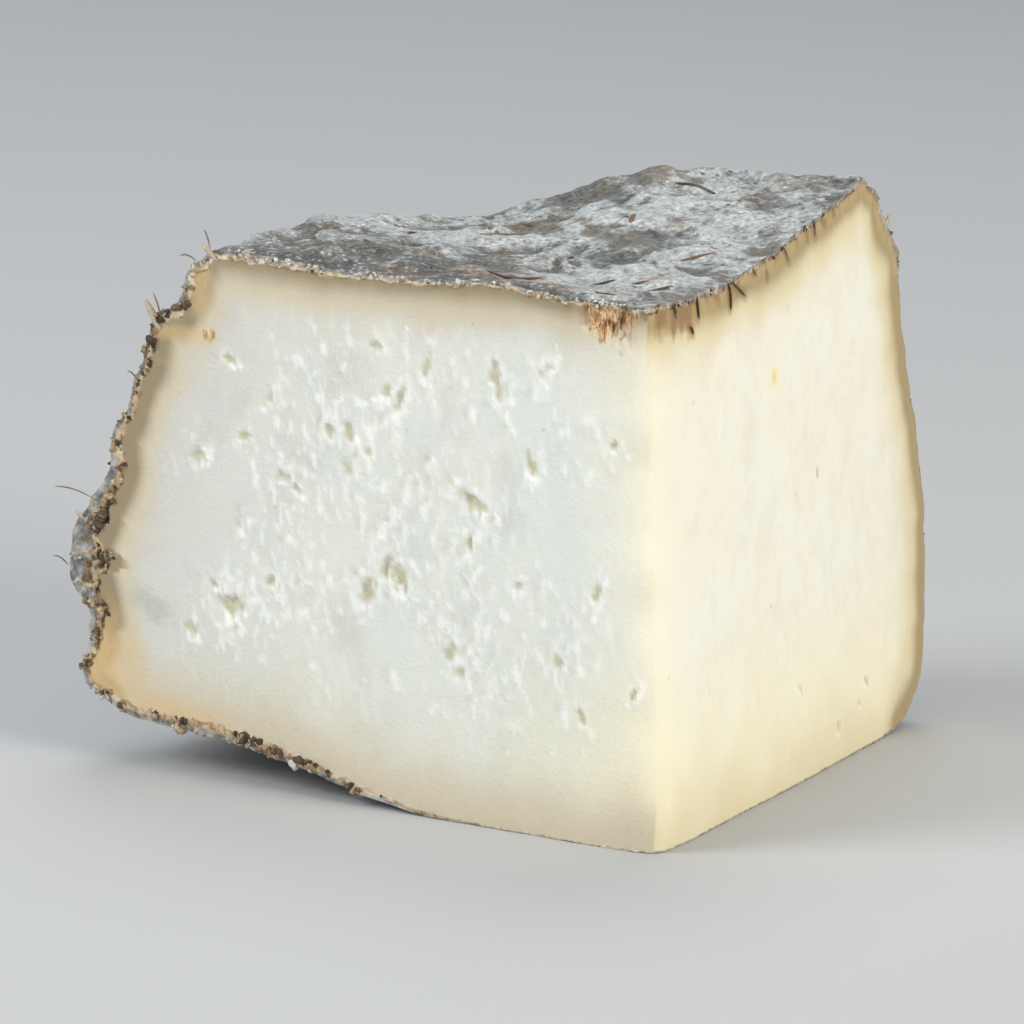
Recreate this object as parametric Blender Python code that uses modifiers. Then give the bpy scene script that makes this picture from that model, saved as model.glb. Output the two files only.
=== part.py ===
"""A quarter wedge of an aged sheep's milk cheese: pale paste inside a mouldy rind with conifer needles in it.

The wheel is turned, made uneven as a hand-made one is, and cut twice with a slightly wavering knife.
Metres, +Z up. The origin is the middle of the face that the wedge rests on, and the corner where the
two cuts meet points to -Y, so the left cut face looks to -X and the right one to +X.
"""

import math
import random

import bmesh
import bpy
from mathutils import Matrix, Vector, noise

MM = 0.001

# The turned wheel, before it is made uneven
WHEEL_HEIGHT = 60.5 * MM
WIDEST_RADIUS = 73.5 * MM
WIDEST_HEIGHT = 17 * MM
SHOULDER_RADIUS = 58 * MM
SHOULDER_ROUNDING = 2.4 * MM
FOOT_RADIUS = 60 * MM
FOOT_FULLNESS = 2.5

# How far this wheel is from a true one
CENTRE_FROM_CORNER = 5 * MM
RIGHT_RIM_RISE = 6.4 * MM
LEFT_FOOT_LIFT = 5.2 * MM
# How far the top is above the turned wheel's along the left cut: (distance from the corner, rise), in millimetres
LEFT_TOP = ((0, 0), (6, 0.5), (13, 0.3), (20, -0.5), (25, -1.2), (35, -1.4), (41, -1.0), (46, -0.5), (60, -0.2))
# How far the side stands out from the turned wheel's at each cut: (height, distance), in millimetres
LEFT_SIDE = ((0, 3.4), (5, 2.6), (9, 0.8), (14, -0.8), (18, 0.3), (26, -0.5), (33, -0.4), (40, -1.8), (47, -1.3), (56, -0.5))
RIGHT_SIDE = ((0, 0), (5, 0.6), (13, -0.2), (24, 0.6), (33, -0.6), (38, -1.3), (43, -1.3), (47, 0), (50, 1.6), (56, 0), (60, -1.6))
LUMP_HEIGHT, LUMP_SIZE = 1.3 * MM, 17 * MM
CRAG_HEIGHT, CRAG_SIZE = 0.9 * MM, 5.5 * MM
CRUST_KNOB_HEIGHT, CRUST_KNOB_RADIUS = 2.8 * MM, 9 * MM
CRUST_KNOB_AT = Vector((-49.5 * MM, 49.5 * MM, 22.5 * MM))
LUMP_SHIFT, CRAG_SHIFT = Vector((10.5, 4.0, 30.1)), Vector((36.2, 10.2, 21.8))

# The cuts
CUT_HALF_ANGLE = math.radians(45)
ORIGIN_FROM_CORNER = 42 * MM
LEAN = Vector((-0.064, 0.023))
KNIFE_HEIGHT, KNIFE_THICKNESS = 100 * MM, 170 * MM
KNIFE_START, KNIFE_END = -82 * MM, 90 * MM
LEFT_CUT_STEP, LEFT_CUT_WAVE = 2.4 * MM, 0.34 * MM
RIGHT_CUT_STEP, RIGHT_CUT_WAVE = 3.4 * MM, 0.22 * MM
CORNER_WEAR = 0.45 * MM

# Mesh steps
TURN_STEPS = 144
PROFILE_STEP = 2.6 * MM
FOOT_STEP = 6.5 * MM

# The openings that show best: distance from the corner, height, width and height of each, in millimetres
LEFT_EYES = (
    (31.9, 27.6, 2.2, 2.6),
    (30.8, 26.2, 2.0, 2.4),
    (51.9, 20.4, 2.8, 2.4),
    (53.8, 22.4, 1.8, 1.0),
    (21.8, 36.2, 2.6, 2.4),
    (36.5, 41.8, 1.3, 2.4),
    (39.0, 42.0, 1.0, 1.4),
    (34.2, 40.4, 0.9, 2.0),
    (46.1, 44.6, 1.7, 2.0),
    (49.6, 40.0, 1.5, 1.0),
    (51.1, 48.2, 1.5, 1.3),
    (33.2, 51.9, 1.5, 1.0),
    (18.6, 50.2, 1.3, 3.6),
    (30.3, 46.4, 1.0, 2.8),
    (31.9, 47.2, 1.0, 1.8),
    (27.0, 50.6, 0.8, 2.4),
    (44.8, 36.0, 1.6, 1.5),
    (43.1, 34.8, 1.3, 1.3),
    (36.9, 37.8, 1.0, 2.0),
    (34.7, 24.4, 1.9, 2.4),
    (46.8, 24.0, 1.3, 1.2),
    (55.3, 36.6, 2.0, 1.6),
    (25.0, 19.2, 1.4, 3.4),
    (23.6, 16.8, 1.2, 2.2),
    (57.0, 17.0, 1.4, 2.0),
    (11.7, 19.6, 1.0, 2.4),
    (2.5, 17.8, 1.2, 1.6),
    (6.8, 28.6, 1.1, 3.0),
    (16.6, 27.6, 1.2, 1.2),
    (9.2, 14.6, 0.8, 2.8),
    (14.5, 41.0, 1.2, 3.2),
    (22.2, 31.8, 1.0, 3.2),
    (12.7, 51.8, 1.2, 2.2),
    (4.8, 44.6, 1.3, 1.3),
)
RIGHT_EYES = (
    (32.6, 47.8, 1.1, 1.1),
    (44.7, 34.9, 0.8, 0.8),
    (38.8, 10.9, 0.9, 0.9),
    (58.8, 7.9, 1.4, 1.2),
    (56.7, 5.8, 0.9, 0.9),
    (50.3, 4.1, 1.1, 1.3),
)
TORN_SPOTS = ((2.9, 58.4, 3.0, 4.0), (5.2, 57.9, 4.0, 4.8), (7.2, 58.6, 2.8, 3.6))
EYE_DEPTH_SHARE = 0.75

# Needles pressed into the rind
NEEDLE_RADIUS = 0.55 * MM
NEEDLE_LENGTHS = (9 * MM, 21 * MM)
SIDE_NEEDLES = 25
NEEDLE_POINTS = 5
# Both ends of each needle on the top: distance along the left cut and behind it, then its bend, in millimetres
TOP_NEEDLES = (
    ((24.5, 7.5), (11.5, 15.5), 0.6),
    ((33.0, 3.5), (22.5, 4.6), -0.5),
    ((48.5, 16.5), (44.0, 8.0), 0.5),
    ((14.0, 29.0), (19.5, 39.5), -1.2),
    ((36.0, 24.0), (27.0, 38.0), 1.6),
    ((8.5, 4.0), (3.0, 16.5), 0.7),
    ((7.5, 46.5), (20.5, 50.5), 0.9),
    ((4.0, 33.5), (11.5, 23.0), -0.8),
)

RIND_COLOUR = (0.30, 0.31, 0.30, 1.0)
PASTE_COLOUR = (0.80, 0.76, 0.62, 1.0)


def smooth_step(start, end, value):
    share = min(1.0, max(0.0, (value - start) / (end - start)))
    return share * share * (3 - 2 * share)


def clear_scene():
    for obj in list(bpy.data.objects):
        bpy.data.objects.remove(obj)


def new_collection(name, rendered=True):
    collection = bpy.data.collections.new(name)
    bpy.context.scene.collection.children.link(collection)
    collection.hide_render = not rendered
    return collection


def plain_material(name, colour, roughness):
    material = bpy.data.materials.new(name)
    material.use_nodes = True
    shader = material.node_tree.nodes["Principled BSDF"]
    shader.inputs["Base Color"].default_value = colour
    shader.inputs["Roughness"].default_value = roughness
    return material


def side_radius(height):
    """Radius of the turned wheel's side: it spreads from the shoulder to its widest, and turns in at the foot."""
    if height >= WIDEST_HEIGHT:
        share = (height - WIDEST_HEIGHT) / (WHEEL_HEIGHT - WIDEST_HEIGHT)
        return WIDEST_RADIUS - (WIDEST_RADIUS - SHOULDER_RADIUS) * share * share
    share = 1 - height / WIDEST_HEIGHT
    bulge = (1 - share**FOOT_FULLNESS) ** (1 / FOOT_FULLNESS)
    return FOOT_RADIUS + (WIDEST_RADIUS - FOOT_RADIUS) * bulge


def turned_profile():
    """Points (radius, height) of the turned wheel, from the top's centre over the side to the base's centre."""
    flat = SHOULDER_RADIUS - SHOULDER_ROUNDING
    steps = round(flat / PROFILE_STEP / 1.3)
    points = [(flat * (1 - (1 - i / steps) ** 1.5), WHEEL_HEIGHT) for i in range(steps)]
    for i in range(4):
        turn = math.pi / 2 * i / 4
        drop = SHOULDER_ROUNDING * (1 - math.cos(turn))
        points.append((flat + SHOULDER_ROUNDING * math.sin(turn), WHEEL_HEIGHT - drop))
    side_top = WHEEL_HEIGHT - SHOULDER_ROUNDING
    steps = round(side_top / PROFILE_STEP)
    points += [(side_radius(h), h) for h in (side_top * (1 - i / steps) for i in range(steps))]
    steps = round(FOOT_RADIUS / FOOT_STEP)
    points += [(FOOT_RADIUS * (1 - i / steps), 0.0) for i in range(steps + 1)]
    return points


def skin_at(angle, height):
    """Point and outward normal on the turned wheel's side. The angle is from +Y, growing to +X."""
    around = Vector((math.sin(angle), math.cos(angle), 0))
    rise = 0.5 * MM
    slope = (side_radius(height + rise) - side_radius(height - rise)) / (2 * rise)
    centre = Vector((CENTRE_FROM_CORNER, 0, 0))
    point = centre + around * side_radius(height) + Vector((0, 0, height))
    return point, (around - Vector((0, 0, slope))).normalized()


def relief(point, angle):
    """How far the rind stands out at a point of the turned wheel: broad lumps, then crags, deepest at the back."""
    lumps = noise.noise(point / LUMP_SIZE + LUMP_SHIFT)
    crags = noise.fractal(point / CRAG_SIZE + CRAG_SHIFT, 0.9, 2.1, 2)
    knob = 1 - smooth_step(0.2, 1.0, (point - CRUST_KNOB_AT).length / CRUST_KNOB_RADIUS)
    crags *= 1 + 0.9 * (1 - smooth_step(28, 44, abs(angle)))
    return LUMP_HEIGHT * lumps + CRAG_HEIGHT * crags + CRUST_KNOB_HEIGHT * knob


def stand_out(side, height):
    """Reads a list of (height, distance) pairs, in millimetres, at a height in metres."""
    height /= MM
    for (low, first), (high, last) in zip(side, side[1:]):
        if height <= high:
            share = max(0.0, (height - low) / (high - low))
            return (first + (last - first) * share) * MM
    return side[-1][1] * MM


def hand_made(point, outward):
    """Moves a point of the turned wheel to where the uneven one has it. Distances are from the cuts' corner."""
    angle = math.degrees(math.atan2(point.x, point.y))
    reach = math.hypot(point.x, point.y)
    right = smooth_step(-6, 28, angle) * (1 - smooth_step(120, 170, angle))
    left = smooth_step(-28, -44, angle) * (1 - smooth_step(-120, -170, angle))
    near_left = smooth_step(-8, -40, angle) * (1 - smooth_step(-120, -170, angle))
    out = min(1.06, reach / SHOULDER_RADIUS)
    share = max(0.0, min(1.0, point.z / WHEEL_HEIGHT))
    moved = point + outward * relief(point, angle) * smooth_step(0.0, 5 * MM, point.z)
    spread = near_left * stand_out(LEFT_SIDE, point.z) + right * stand_out(RIGHT_SIDE, point.z)
    spread *= smooth_step(42 * MM, 56 * MM, reach)
    moved += Vector((point.x, point.y, 0)).normalized() * spread
    moved.z += (RIGHT_RIM_RISE * right * out**2.6 + left * stand_out(LEFT_TOP, reach)) * share**1.5
    moved.z += LEFT_FOOT_LIFT * near_left * smooth_step(26 * MM, 56 * MM, reach) * (1 - share) ** 2
    return moved


def stand(mesh):
    """Leans the cut corner, and moves the wedge so that the origin is under its middle."""
    mesh.transform(Matrix(((1, 0, LEAN.x, 0), (0, 1, LEAN.y, -ORIGIN_FROM_CORNER), (0, 0, 1, 0), (0, 0, 0, 1))))


def evaluated_mesh(obj):
    bpy.context.view_layer.update()
    graph = bpy.context.evaluated_depsgraph_get()
    return bpy.data.meshes.new_from_object(obj.evaluated_get(graph), depsgraph=graph)


def make_wheel(collection, rind):
    """The whole wheel: a profile turned by a Screw modifier, then moved point by point to its uneven shape."""
    points = turned_profile()
    outline = bpy.data.meshes.new("wheel_profile")
    edges = [(i, i + 1) for i in range(len(points) - 1)]
    outline.from_pydata([(r, 0, h) for r, h in points], edges, [])
    wheel = bpy.data.objects.new("sheep_cheese_wedge", outline)
    collection.objects.link(wheel)
    screw = wheel.modifiers.new("turn", "SCREW")
    screw.steps = screw.render_steps = TURN_STEPS
    screw.use_merge_vertices = True
    screw.merge_threshold = 0.00005
    mesh = evaluated_mesh(wheel)
    wheel.modifiers.clear()
    wheel.data = mesh
    mesh.transform(Matrix.Translation((CENTRE_FROM_CORNER, 0, 0)))
    mesh.materials.clear()
    mesh.materials.append(rind)
    normals = [Vector(v.normal) for v in mesh.vertices]
    for vertex, outward in zip(mesh.vertices, normals):
        vertex.co = hand_made(vertex.co.copy(), outward)
    return wheel


def make_knife(name, collection, paste, side, step, wave):
    """A thick block whose front face is one cut. side is -1 for the left cut and 1 for the right one."""
    length = KNIFE_END - KNIFE_START
    columns, rows = round(length / step), round(KNIFE_HEIGHT / step)
    mesh = bpy.data.meshes.new(name)
    blade = bmesh.new()
    bmesh.ops.create_grid(blade, x_segments=columns, y_segments=rows, size=0.5)
    grow = Matrix.Diagonal((length, KNIFE_HEIGHT, 1, 1))
    middle = Matrix.Translation(((KNIFE_START + KNIFE_END) / 2, KNIFE_HEIGHT * 0.42, 0))
    bmesh.ops.transform(blade, matrix=middle @ grow, verts=blade.verts)
    for vertex in blade.verts:
        x, y = vertex.co.x, vertex.co.y
        slow = noise.noise(Vector((x / (26 * MM), y / (30 * MM), 4.0 * side)))
        drag = noise.noise(Vector((x / (3.2 * MM), y / (9 * MM), 11.0 * side)))
        vertex.co.z = wave * (slow + 0.8 * drag) * smooth_step(1 * MM, 8 * MM, abs(x))
    back = bmesh.ops.extrude_face_region(blade, geom=blade.faces[:])["geom"]
    moved = [v for v in back if isinstance(v, bmesh.types.BMVert)]
    bmesh.ops.translate(blade, verts=moved, vec=(0, 0, KNIFE_THICKNESS))
    bmesh.ops.recalc_face_normals(blade, faces=blade.faces[:])
    blade.to_mesh(mesh)
    blade.free()
    mesh.materials.append(paste)
    knife = bpy.data.objects.new(name, mesh)
    collection.objects.link(knife)
    mark_as_helper(knife)
    along = Vector((side * math.sin(CUT_HALF_ANGLE), math.cos(CUT_HALF_ANGLE), 0))
    up = Vector((0, 0, 1))
    away = Vector((side * math.cos(CUT_HALF_ANGLE), -math.sin(CUT_HALF_ANGLE), 0))
    put_in_place(mesh, Matrix((along, up, away)).transposed().to_4x4())
    return knife


def put_in_place(mesh, matrix):
    """Moves a cutter's mesh, and turns its faces outwards again where the matrix mirrors it."""
    mesh.transform(matrix)
    if matrix.determinant() < 0:
        mesh.flip_normals()


def mark_as_helper(obj):
    obj.hide_render = True
    obj.display_type = "WIRE"


def join_or_cut(target, operation, solver, other=None, collection=None):
    """Applies one Boolean modifier to the target's mesh."""
    step = target.modifiers.new(operation.lower(), "BOOLEAN")
    step.operation = operation
    step.solver = solver
    step.material_mode = "TRANSFER"
    if collection:
        step.operand_type = "COLLECTION"
        step.collection = collection
    else:
        step.object = other
    mesh = evaluated_mesh(target)
    target.modifiers.clear()
    target.data = mesh


def drop_crumbs(mesh):
    """Removes the bits that the knife cuts free, such as the end of a needle across a cut."""
    cheese = bmesh.new()
    cheese.from_mesh(mesh)
    left, islands = set(cheese.verts), []
    while left:
        island, edge = set(), [left.pop()]
        while edge:
            vertex = edge.pop()
            island.add(vertex)
            near = [link.other_vert(vertex) for link in vertex.link_edges]
            edge += [v for v in near if v in left]
            left.difference_update(near)
        islands.append(island)
    largest = max(islands, key=len)
    bmesh.ops.delete(cheese, geom=[v for v in cheese.verts if v not in largest], context="VERTS")
    cheese.to_mesh(mesh)
    cheese.free()


def wear_corner(mesh):
    """Rounds the sharp corner where the cuts meet."""
    for vertex in mesh.vertices:
        if math.hypot(vertex.co.x, vertex.co.y) < 0.3 * MM:
            vertex.co.y += CORNER_WEAR


def make_eye(rng, collection, paste, side, along, up, wide, high):
    """A lumpy pebble that leaves one opening in a cut face."""
    mesh = bpy.data.meshes.new("eye")
    pebble = bmesh.new()
    bmesh.ops.create_icosphere(pebble, subdivisions=1, radius=1.0)
    for vertex in pebble.verts:
        vertex.co *= rng.uniform(0.78, 1.12)
    pebble.to_mesh(mesh)
    pebble.free()
    mesh.materials.append(paste)
    eye = bpy.data.objects.new("eye", mesh)
    collection.objects.link(eye)
    mark_as_helper(eye)
    direction = Vector((side * math.sin(CUT_HALF_ANGLE), math.cos(CUT_HALF_ANGLE), 0))
    away = Vector((side * math.cos(CUT_HALF_ANGLE), -math.sin(CUT_HALF_ANGLE), 0))
    deep = EYE_DEPTH_SHARE * wide
    turned = Matrix.Rotation(rng.uniform(-0.35, 0.35), 3, "Z")
    scaled = Matrix.Diagonal((wide / 2, high / 2, deep))
    axes = Matrix((direction, Vector((0, 0, 1)), away)).transposed()
    place = Matrix.Translation(direction * along + Vector((0, 0, up)))
    put_in_place(mesh, place @ (axes @ turned @ scaled).to_4x4())
    return eye


def make_eyes(collection, paste):
    rng = random.Random(12)
    for side, eyes in ((-1, LEFT_EYES + TORN_SPOTS), (1, RIGHT_EYES)):
        for along, up, wide, high in eyes:
            make_eye(rng, collection, paste, side, along * MM, up * MM, wide * MM, high * MM)


def make_needle(name, collection, rind, path, radius):
    """A tapered tube along the path, as a closed mesh."""
    curve = bpy.data.curves.new(name, "CURVE")
    curve.dimensions = "3D"
    curve.bevel_depth = radius
    curve.bevel_resolution = 1
    curve.use_fill_caps = True
    spline = curve.splines.new("POLY")
    spline.points.add(len(path) - 1)
    for i, (point, place) in enumerate(zip(spline.points, path)):
        point.co = (*place, 1)
        point.radius = 1.0 - 0.45 * abs(2 * i / (len(path) - 1) - 1) ** 3
    line = bpy.data.objects.new(name, curve)
    collection.objects.link(line)
    mesh = evaluated_mesh(line)
    bpy.data.objects.remove(line)
    welded = bmesh.new()
    welded.from_mesh(mesh)
    bmesh.ops.remove_doubles(welded, verts=welded.verts, dist=0.00002)
    bmesh.ops.recalc_face_normals(welded, faces=welded.faces[:])
    welded.to_mesh(mesh)
    welded.free()
    mesh.materials.clear()
    mesh.materials.append(rind)
    needle = bpy.data.objects.new(name, mesh)
    collection.objects.link(needle)
    mark_as_helper(needle)
    return needle


def side_path(rng):
    """A needle's line on the side of the wheel: half sunk, a little bent, and one end sometimes lifted."""
    angle, height = math.radians(rng.uniform(-33, 37)), rng.uniform(9, 48) * MM
    heading = rng.choice((rng.gauss(0.5, 0.35), rng.gauss(1.9, 0.5)))
    length, bend = rng.uniform(*NEEDLE_LENGTHS), rng.uniform(-0.7, 0.7)
    lifted = rng.uniform(1.2, 3.2) * MM if rng.random() < 0.25 else 0.0
    path = []
    for i in range(NEEDLE_POINTS):
        share = i / (NEEDLE_POINTS - 1)
        turn = heading + bend * share
        point, outward = skin_at(angle, height)
        rise = 0.25 * MM + lifted * share**3 - 0.3 * MM * (1 - share) ** 4
        path.append(hand_made(point, outward) + outward * rise)
        step = length / (NEEDLE_POINTS - 1)
        angle += step * math.cos(turn) / side_radius(height)
        height = min(52 * MM, max(6 * MM, height + step * math.sin(turn)))
    return path


def top_path(start, end, bend):
    """A needle's line on the top of the wheel, lying flat in it."""
    left = Vector((-math.sin(CUT_HALF_ANGLE), math.cos(CUT_HALF_ANGLE), 0))
    behind = Vector((math.sin(CUT_HALF_ANGLE), math.cos(CUT_HALF_ANGLE), 0))
    first, last = (left * along * MM + behind * back * MM for along, back in (start, end))
    across = (last - first).cross(Vector((0, 0, 1))).normalized()
    path = []
    for i in range(NEEDLE_POINTS):
        share = i / (NEEDLE_POINTS - 1)
        flat = first.lerp(last, share) + across * bend * MM * 4 * share * (1 - share)
        point = Vector((flat.x, flat.y, WHEEL_HEIGHT))
        path.append(hand_made(point, Vector((0, 0, 1))) + Vector((0, 0, 0.2 * MM)))
    return path


def make_needles(collection, rind):
    rng = random.Random(7)
    for i in range(SIDE_NEEDLES):
        make_needle(f"side_needle_{i}", collection, rind, side_path(rng), NEEDLE_RADIUS * rng.uniform(0.8, 1.15))
    for i, (start, end, bend) in enumerate(TOP_NEEDLES):
        radius = NEEDLE_RADIUS * rng.uniform(0.8, 1.1)
        make_needle(f"top_needle_{i}", collection, rind, top_path(start, end, bend), radius)


def remove_collection(collection):
    for obj in list(collection.objects):
        bpy.data.objects.remove(obj)
    bpy.data.collections.remove(collection)


def main():
    clear_scene()
    parts = new_collection("sheep_cheese")
    knives = new_collection("knives", rendered=False)
    eyes = new_collection("eyes", rendered=False)
    needles = new_collection("needles", rendered=False)
    rind = plain_material("mouldy_rind", RIND_COLOUR, 0.9)
    paste = plain_material("pale_paste", PASTE_COLOUR, 0.5)

    wedge = make_wheel(parts, rind)
    make_needles(needles, rind)
    join_or_cut(wedge, "UNION", "MANIFOLD", collection=needles)
    for name, side, step, wave in (
        ("left_cut", -1, LEFT_CUT_STEP, LEFT_CUT_WAVE),
        ("right_cut", 1, RIGHT_CUT_STEP, RIGHT_CUT_WAVE),
    ):
        knife = make_knife(name, knives, paste, side, step, wave)
        join_or_cut(wedge, "DIFFERENCE", "MANIFOLD", other=knife)
    make_eyes(eyes, paste)
    join_or_cut(wedge, "DIFFERENCE", "MANIFOLD", collection=eyes)
    drop_crumbs(wedge.data)
    wear_corner(wedge.data)
    stand(wedge.data)
    wedge.data.shade_smooth()
    wedge.data.set_sharp_from_angle(angle=math.radians(50))
    for collection in (knives, eyes, needles):
        remove_collection(collection)


main()
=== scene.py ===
import math
import random

import bmesh
import bpy
import numpy as np
from mathutils import Matrix, Vector, kdtree, noise


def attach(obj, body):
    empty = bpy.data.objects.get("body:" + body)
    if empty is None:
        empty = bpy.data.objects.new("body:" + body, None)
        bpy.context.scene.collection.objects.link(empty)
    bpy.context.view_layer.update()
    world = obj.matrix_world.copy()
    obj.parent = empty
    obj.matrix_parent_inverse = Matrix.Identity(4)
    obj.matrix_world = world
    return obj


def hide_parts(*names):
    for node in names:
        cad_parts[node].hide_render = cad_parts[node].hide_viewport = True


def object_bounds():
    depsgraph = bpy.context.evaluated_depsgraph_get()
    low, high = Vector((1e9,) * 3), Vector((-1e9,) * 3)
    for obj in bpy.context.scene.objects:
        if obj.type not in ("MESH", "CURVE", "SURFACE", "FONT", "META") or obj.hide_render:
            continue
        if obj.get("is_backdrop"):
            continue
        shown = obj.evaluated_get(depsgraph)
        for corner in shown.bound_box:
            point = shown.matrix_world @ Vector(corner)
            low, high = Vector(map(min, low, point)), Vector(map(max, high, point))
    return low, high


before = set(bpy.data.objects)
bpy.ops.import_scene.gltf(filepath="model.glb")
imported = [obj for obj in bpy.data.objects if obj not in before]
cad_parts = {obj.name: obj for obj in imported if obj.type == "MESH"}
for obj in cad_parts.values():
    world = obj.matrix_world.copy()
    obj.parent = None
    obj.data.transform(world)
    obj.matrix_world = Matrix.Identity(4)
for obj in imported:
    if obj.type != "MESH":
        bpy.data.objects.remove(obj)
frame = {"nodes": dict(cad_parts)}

cadLow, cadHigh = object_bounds()
mm = 0.001
print("frame loaded:", ", ".join(frame["nodes"]))


# Small helpers

def smoothStep(start, end, value):
    share = min(1.0, max(0.0, (value - start) / (end - start)))
    return share * share * (3 - 2 * share)


def smoothSteps(start, end, values):
    share = np.clip((values - start) / (end - start), 0, 1)
    return share * share * (3 - 2 * share)


def noiseAt(x, y, z):
    return noise.noise(Vector((x, y, z)))


def readList(pairs, place):
    return float(np.interp(place, [p[0] for p in pairs], [p[1] for p in pairs]))


def newMesh(name, points, faces, smooth=True):
    mesh = bpy.data.meshes.new(name)
    mesh.from_pydata([tuple(p) for p in points], [], faces)
    mesh.validate(clean_customdata=False)
    if smooth:
        mesh.shade_smooth()
    piece = bpy.data.objects.new(name, mesh)
    bpy.context.scene.collection.objects.link(piece)
    return piece


def writeValues(mesh, name, values):
    layer = mesh.attributes.get(name) or mesh.attributes.new(name, "FLOAT", "POINT")
    layer.data.foreach_set("value", np.asarray(values, np.float32))


# Shader sockets that plain arithmetic works on

class Wire:
    def __init__(self, tree, socket=None):
        self.tree, self.socket = tree, socket

    def node(self, kind, settings=None, sockets=None, out=0):
        made = self.tree.nodes.new(kind)
        for name, value in (settings or {}).items():
            if name == "stops":  # of a colour ramp: (place, colour)
                while len(made.color_ramp.elements) < len(value):
                    made.color_ramp.elements.new(1.0)
                for stop, (place, colour) in zip(made.color_ramp.elements, value):
                    stop.position = place
                    stop.color = (*colour, 1.0)
            else:
                setattr(made, name, value)
        for name, value in (sockets or {}).items():
            if isinstance(value, Wire):
                self.tree.links.new(value.socket, made.inputs[name])
            else:
                made.inputs[name].default_value = value
        return Wire(self.tree, made.outputs[out])

    def maths(self, operation, other=None, swapped=False):
        pair = (other, self) if swapped else (self, other)
        places = {i: value for i, value in enumerate(pair) if value is not None}
        return self.node("ShaderNodeMath", {"operation": operation}, places)

    def __add__(self, other):
        return self.maths("ADD", other)

    def __sub__(self, other):
        return self.maths("SUBTRACT", other)

    def __mul__(self, other):
        return self.maths("MULTIPLY", other)

    def __truediv__(self, other):
        return self.maths("DIVIDE", other)

    def __rsub__(self, other):
        return self.maths("SUBTRACT", other, swapped=True)

    __radd__ = __add__
    __rmul__ = __mul__

    def between(self, start, end):
        # 0 at start, 1 at end, smooth in the middle
        limits = {"Value": self, "From Min": start, "From Max": end}
        return self.node("ShaderNodeMapRange", {"interpolation_type": "SMOOTHSTEP"}, limits)

    def mix(self, first, second):
        # self is the factor, first and second are colours
        settings = {"data_type": "RGBA", "clamp_factor": True}
        first, second = (c if isinstance(c, Wire) else (*c, 1.0) for c in (first, second))
        return self.node("ShaderNodeMix", settings, {0: self, 6: first, 7: second}, out=2)

    def ramp(self, stops):
        return self.node("ShaderNodeValToRGB", {"stops": stops}, {"Fac": self})

    def shrunk(self, size, shift):
        # a point in millimetres as a texture's point, so that its lumps are about size millimetres
        size = size if isinstance(size, tuple) else (size,) * 3
        sockets = {"Vector": self, "Scale": tuple(1 / s for s in size), "Location": shift}
        return self.node("ShaderNodeMapping", None, sockets)

    def grain(self, size, detail=2.0, roughness=0.5, warp=0.0, shift=(0, 0, 0)):
        # noise from 0 to 1
        sockets = {"Vector": self.shrunk(size, shift), "Scale": 1.0,
                   "Detail": detail, "Roughness": roughness, "Distortion": warp}
        return self.node("ShaderNodeTexNoise", {"noise_dimensions": "3D"}, sockets)

    def cells(self, size, out=0, shift=(0, 0, 0)):
        # out 0 is the way to the nearest cell's middle, out 1 that cell's colour
        sockets = {"Vector": self.shrunk(size, shift), "Scale": 1.0, "Randomness": 1.0}
        return self.node("ShaderNodeTexVoronoi", {"feature": "F1"}, sockets, out=out)


def newMaterial(name):
    material = bpy.data.materials.new(name)
    material.use_nodes = True
    tree = material.node_tree
    shader = tree.nodes["Principled BSDF"]
    start = Wire(tree)
    place = start.node("ShaderNodeTexCoord", out=3)
    place = place.node("ShaderNodeVectorMath", {"operation": "SCALE"}, {0: place, "Scale": 1000.0})
    return material, shader, place


def painted(place, name):
    # a value kept on the mesh's points
    return place.node("ShaderNodeAttribute", {"attribute_name": name}, out=2)


def connect(shader, name, wire):
    wire.tree.links.new(wire.socket, shader.inputs[name])


def addBump(shader, place, height, depth):
    # height from 0 to 1, depth in metres
    sockets = {"Height": height, "Distance": depth, "Strength": 1.0}
    connect(shader, "Normal", place.node("ShaderNodeBump", None, sockets))


# The turned wheel that the wedge is cut from, as the CAD has it

wheel = {
    "height": 60.5 * mm,
    "widestRadius": 73.5 * mm,
    "widestHeight": 17 * mm,
    "shoulderRadius": 58 * mm,
    "shoulderRounding": 2.4 * mm,
    "footRadius": 60 * mm,
    "footFullness": 2.5,
    "centreFromCorner": 5 * mm,
    "rightRimRise": 6.4 * mm,
    "leftFootLift": 5.2 * mm,
    # how far the rims stray from the turned shape, in millimetres, by reach on the top and by height on the sides
    "leftTop": ((0, 0), (6, 0.5), (13, 0.3), (20, -0.5), (25, -1.2), (35, -1.4), (41, -1.0), (46, -0.5), (60, -0.2)),
    "leftSide": ((0, 3.4), (5, 2.6), (9, 0.8), (14, -0.8), (18, 0.3), (26, -0.5), (33, -0.4), (40, -1.8),
                 (47, -1.3), (56, -0.5)),
    "rightSide": ((0, 0), (5, 0.6), (13, -0.2), (24, 0.6), (33, -0.6), (38, -1.3), (43, -1.3), (47, 0),
                  (50, 1.6), (56, 0), (60, -1.6)),
    "lump": (1.3 * mm, 17 * mm, Vector((10.5, 4.0, 30.1))),  # height, size, shift
    "crag": (0.9 * mm, 5.5 * mm, Vector((36.2, 10.2, 21.8))),
    "knob": (2.8 * mm, 9 * mm, Vector((-49.5, 49.5, 22.5)) * mm),  # height, radius, place
    "lean": (-0.064, 0.023),
    "originFromCorner": 42 * mm,
    "topStep": 0.7 * mm,
    "sideStep": 0.6 * mm,
    "wrinkleHeight": 0.19 * mm,
    "wrinkleSize": 2.1 * mm,
    "topWrinkles": 0.48,  # how high they are on the top, as a share
    "pitDepth": 0.42 * mm,
    "pitSize": 2.0 * mm,
    "ledge": (1.5 * mm, 44 * mm, 52.8 * mm),  # torn lip of crust at the left cut: how far out, its lowest and top
    "cornerWear": 1.5 * mm,
}
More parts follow.
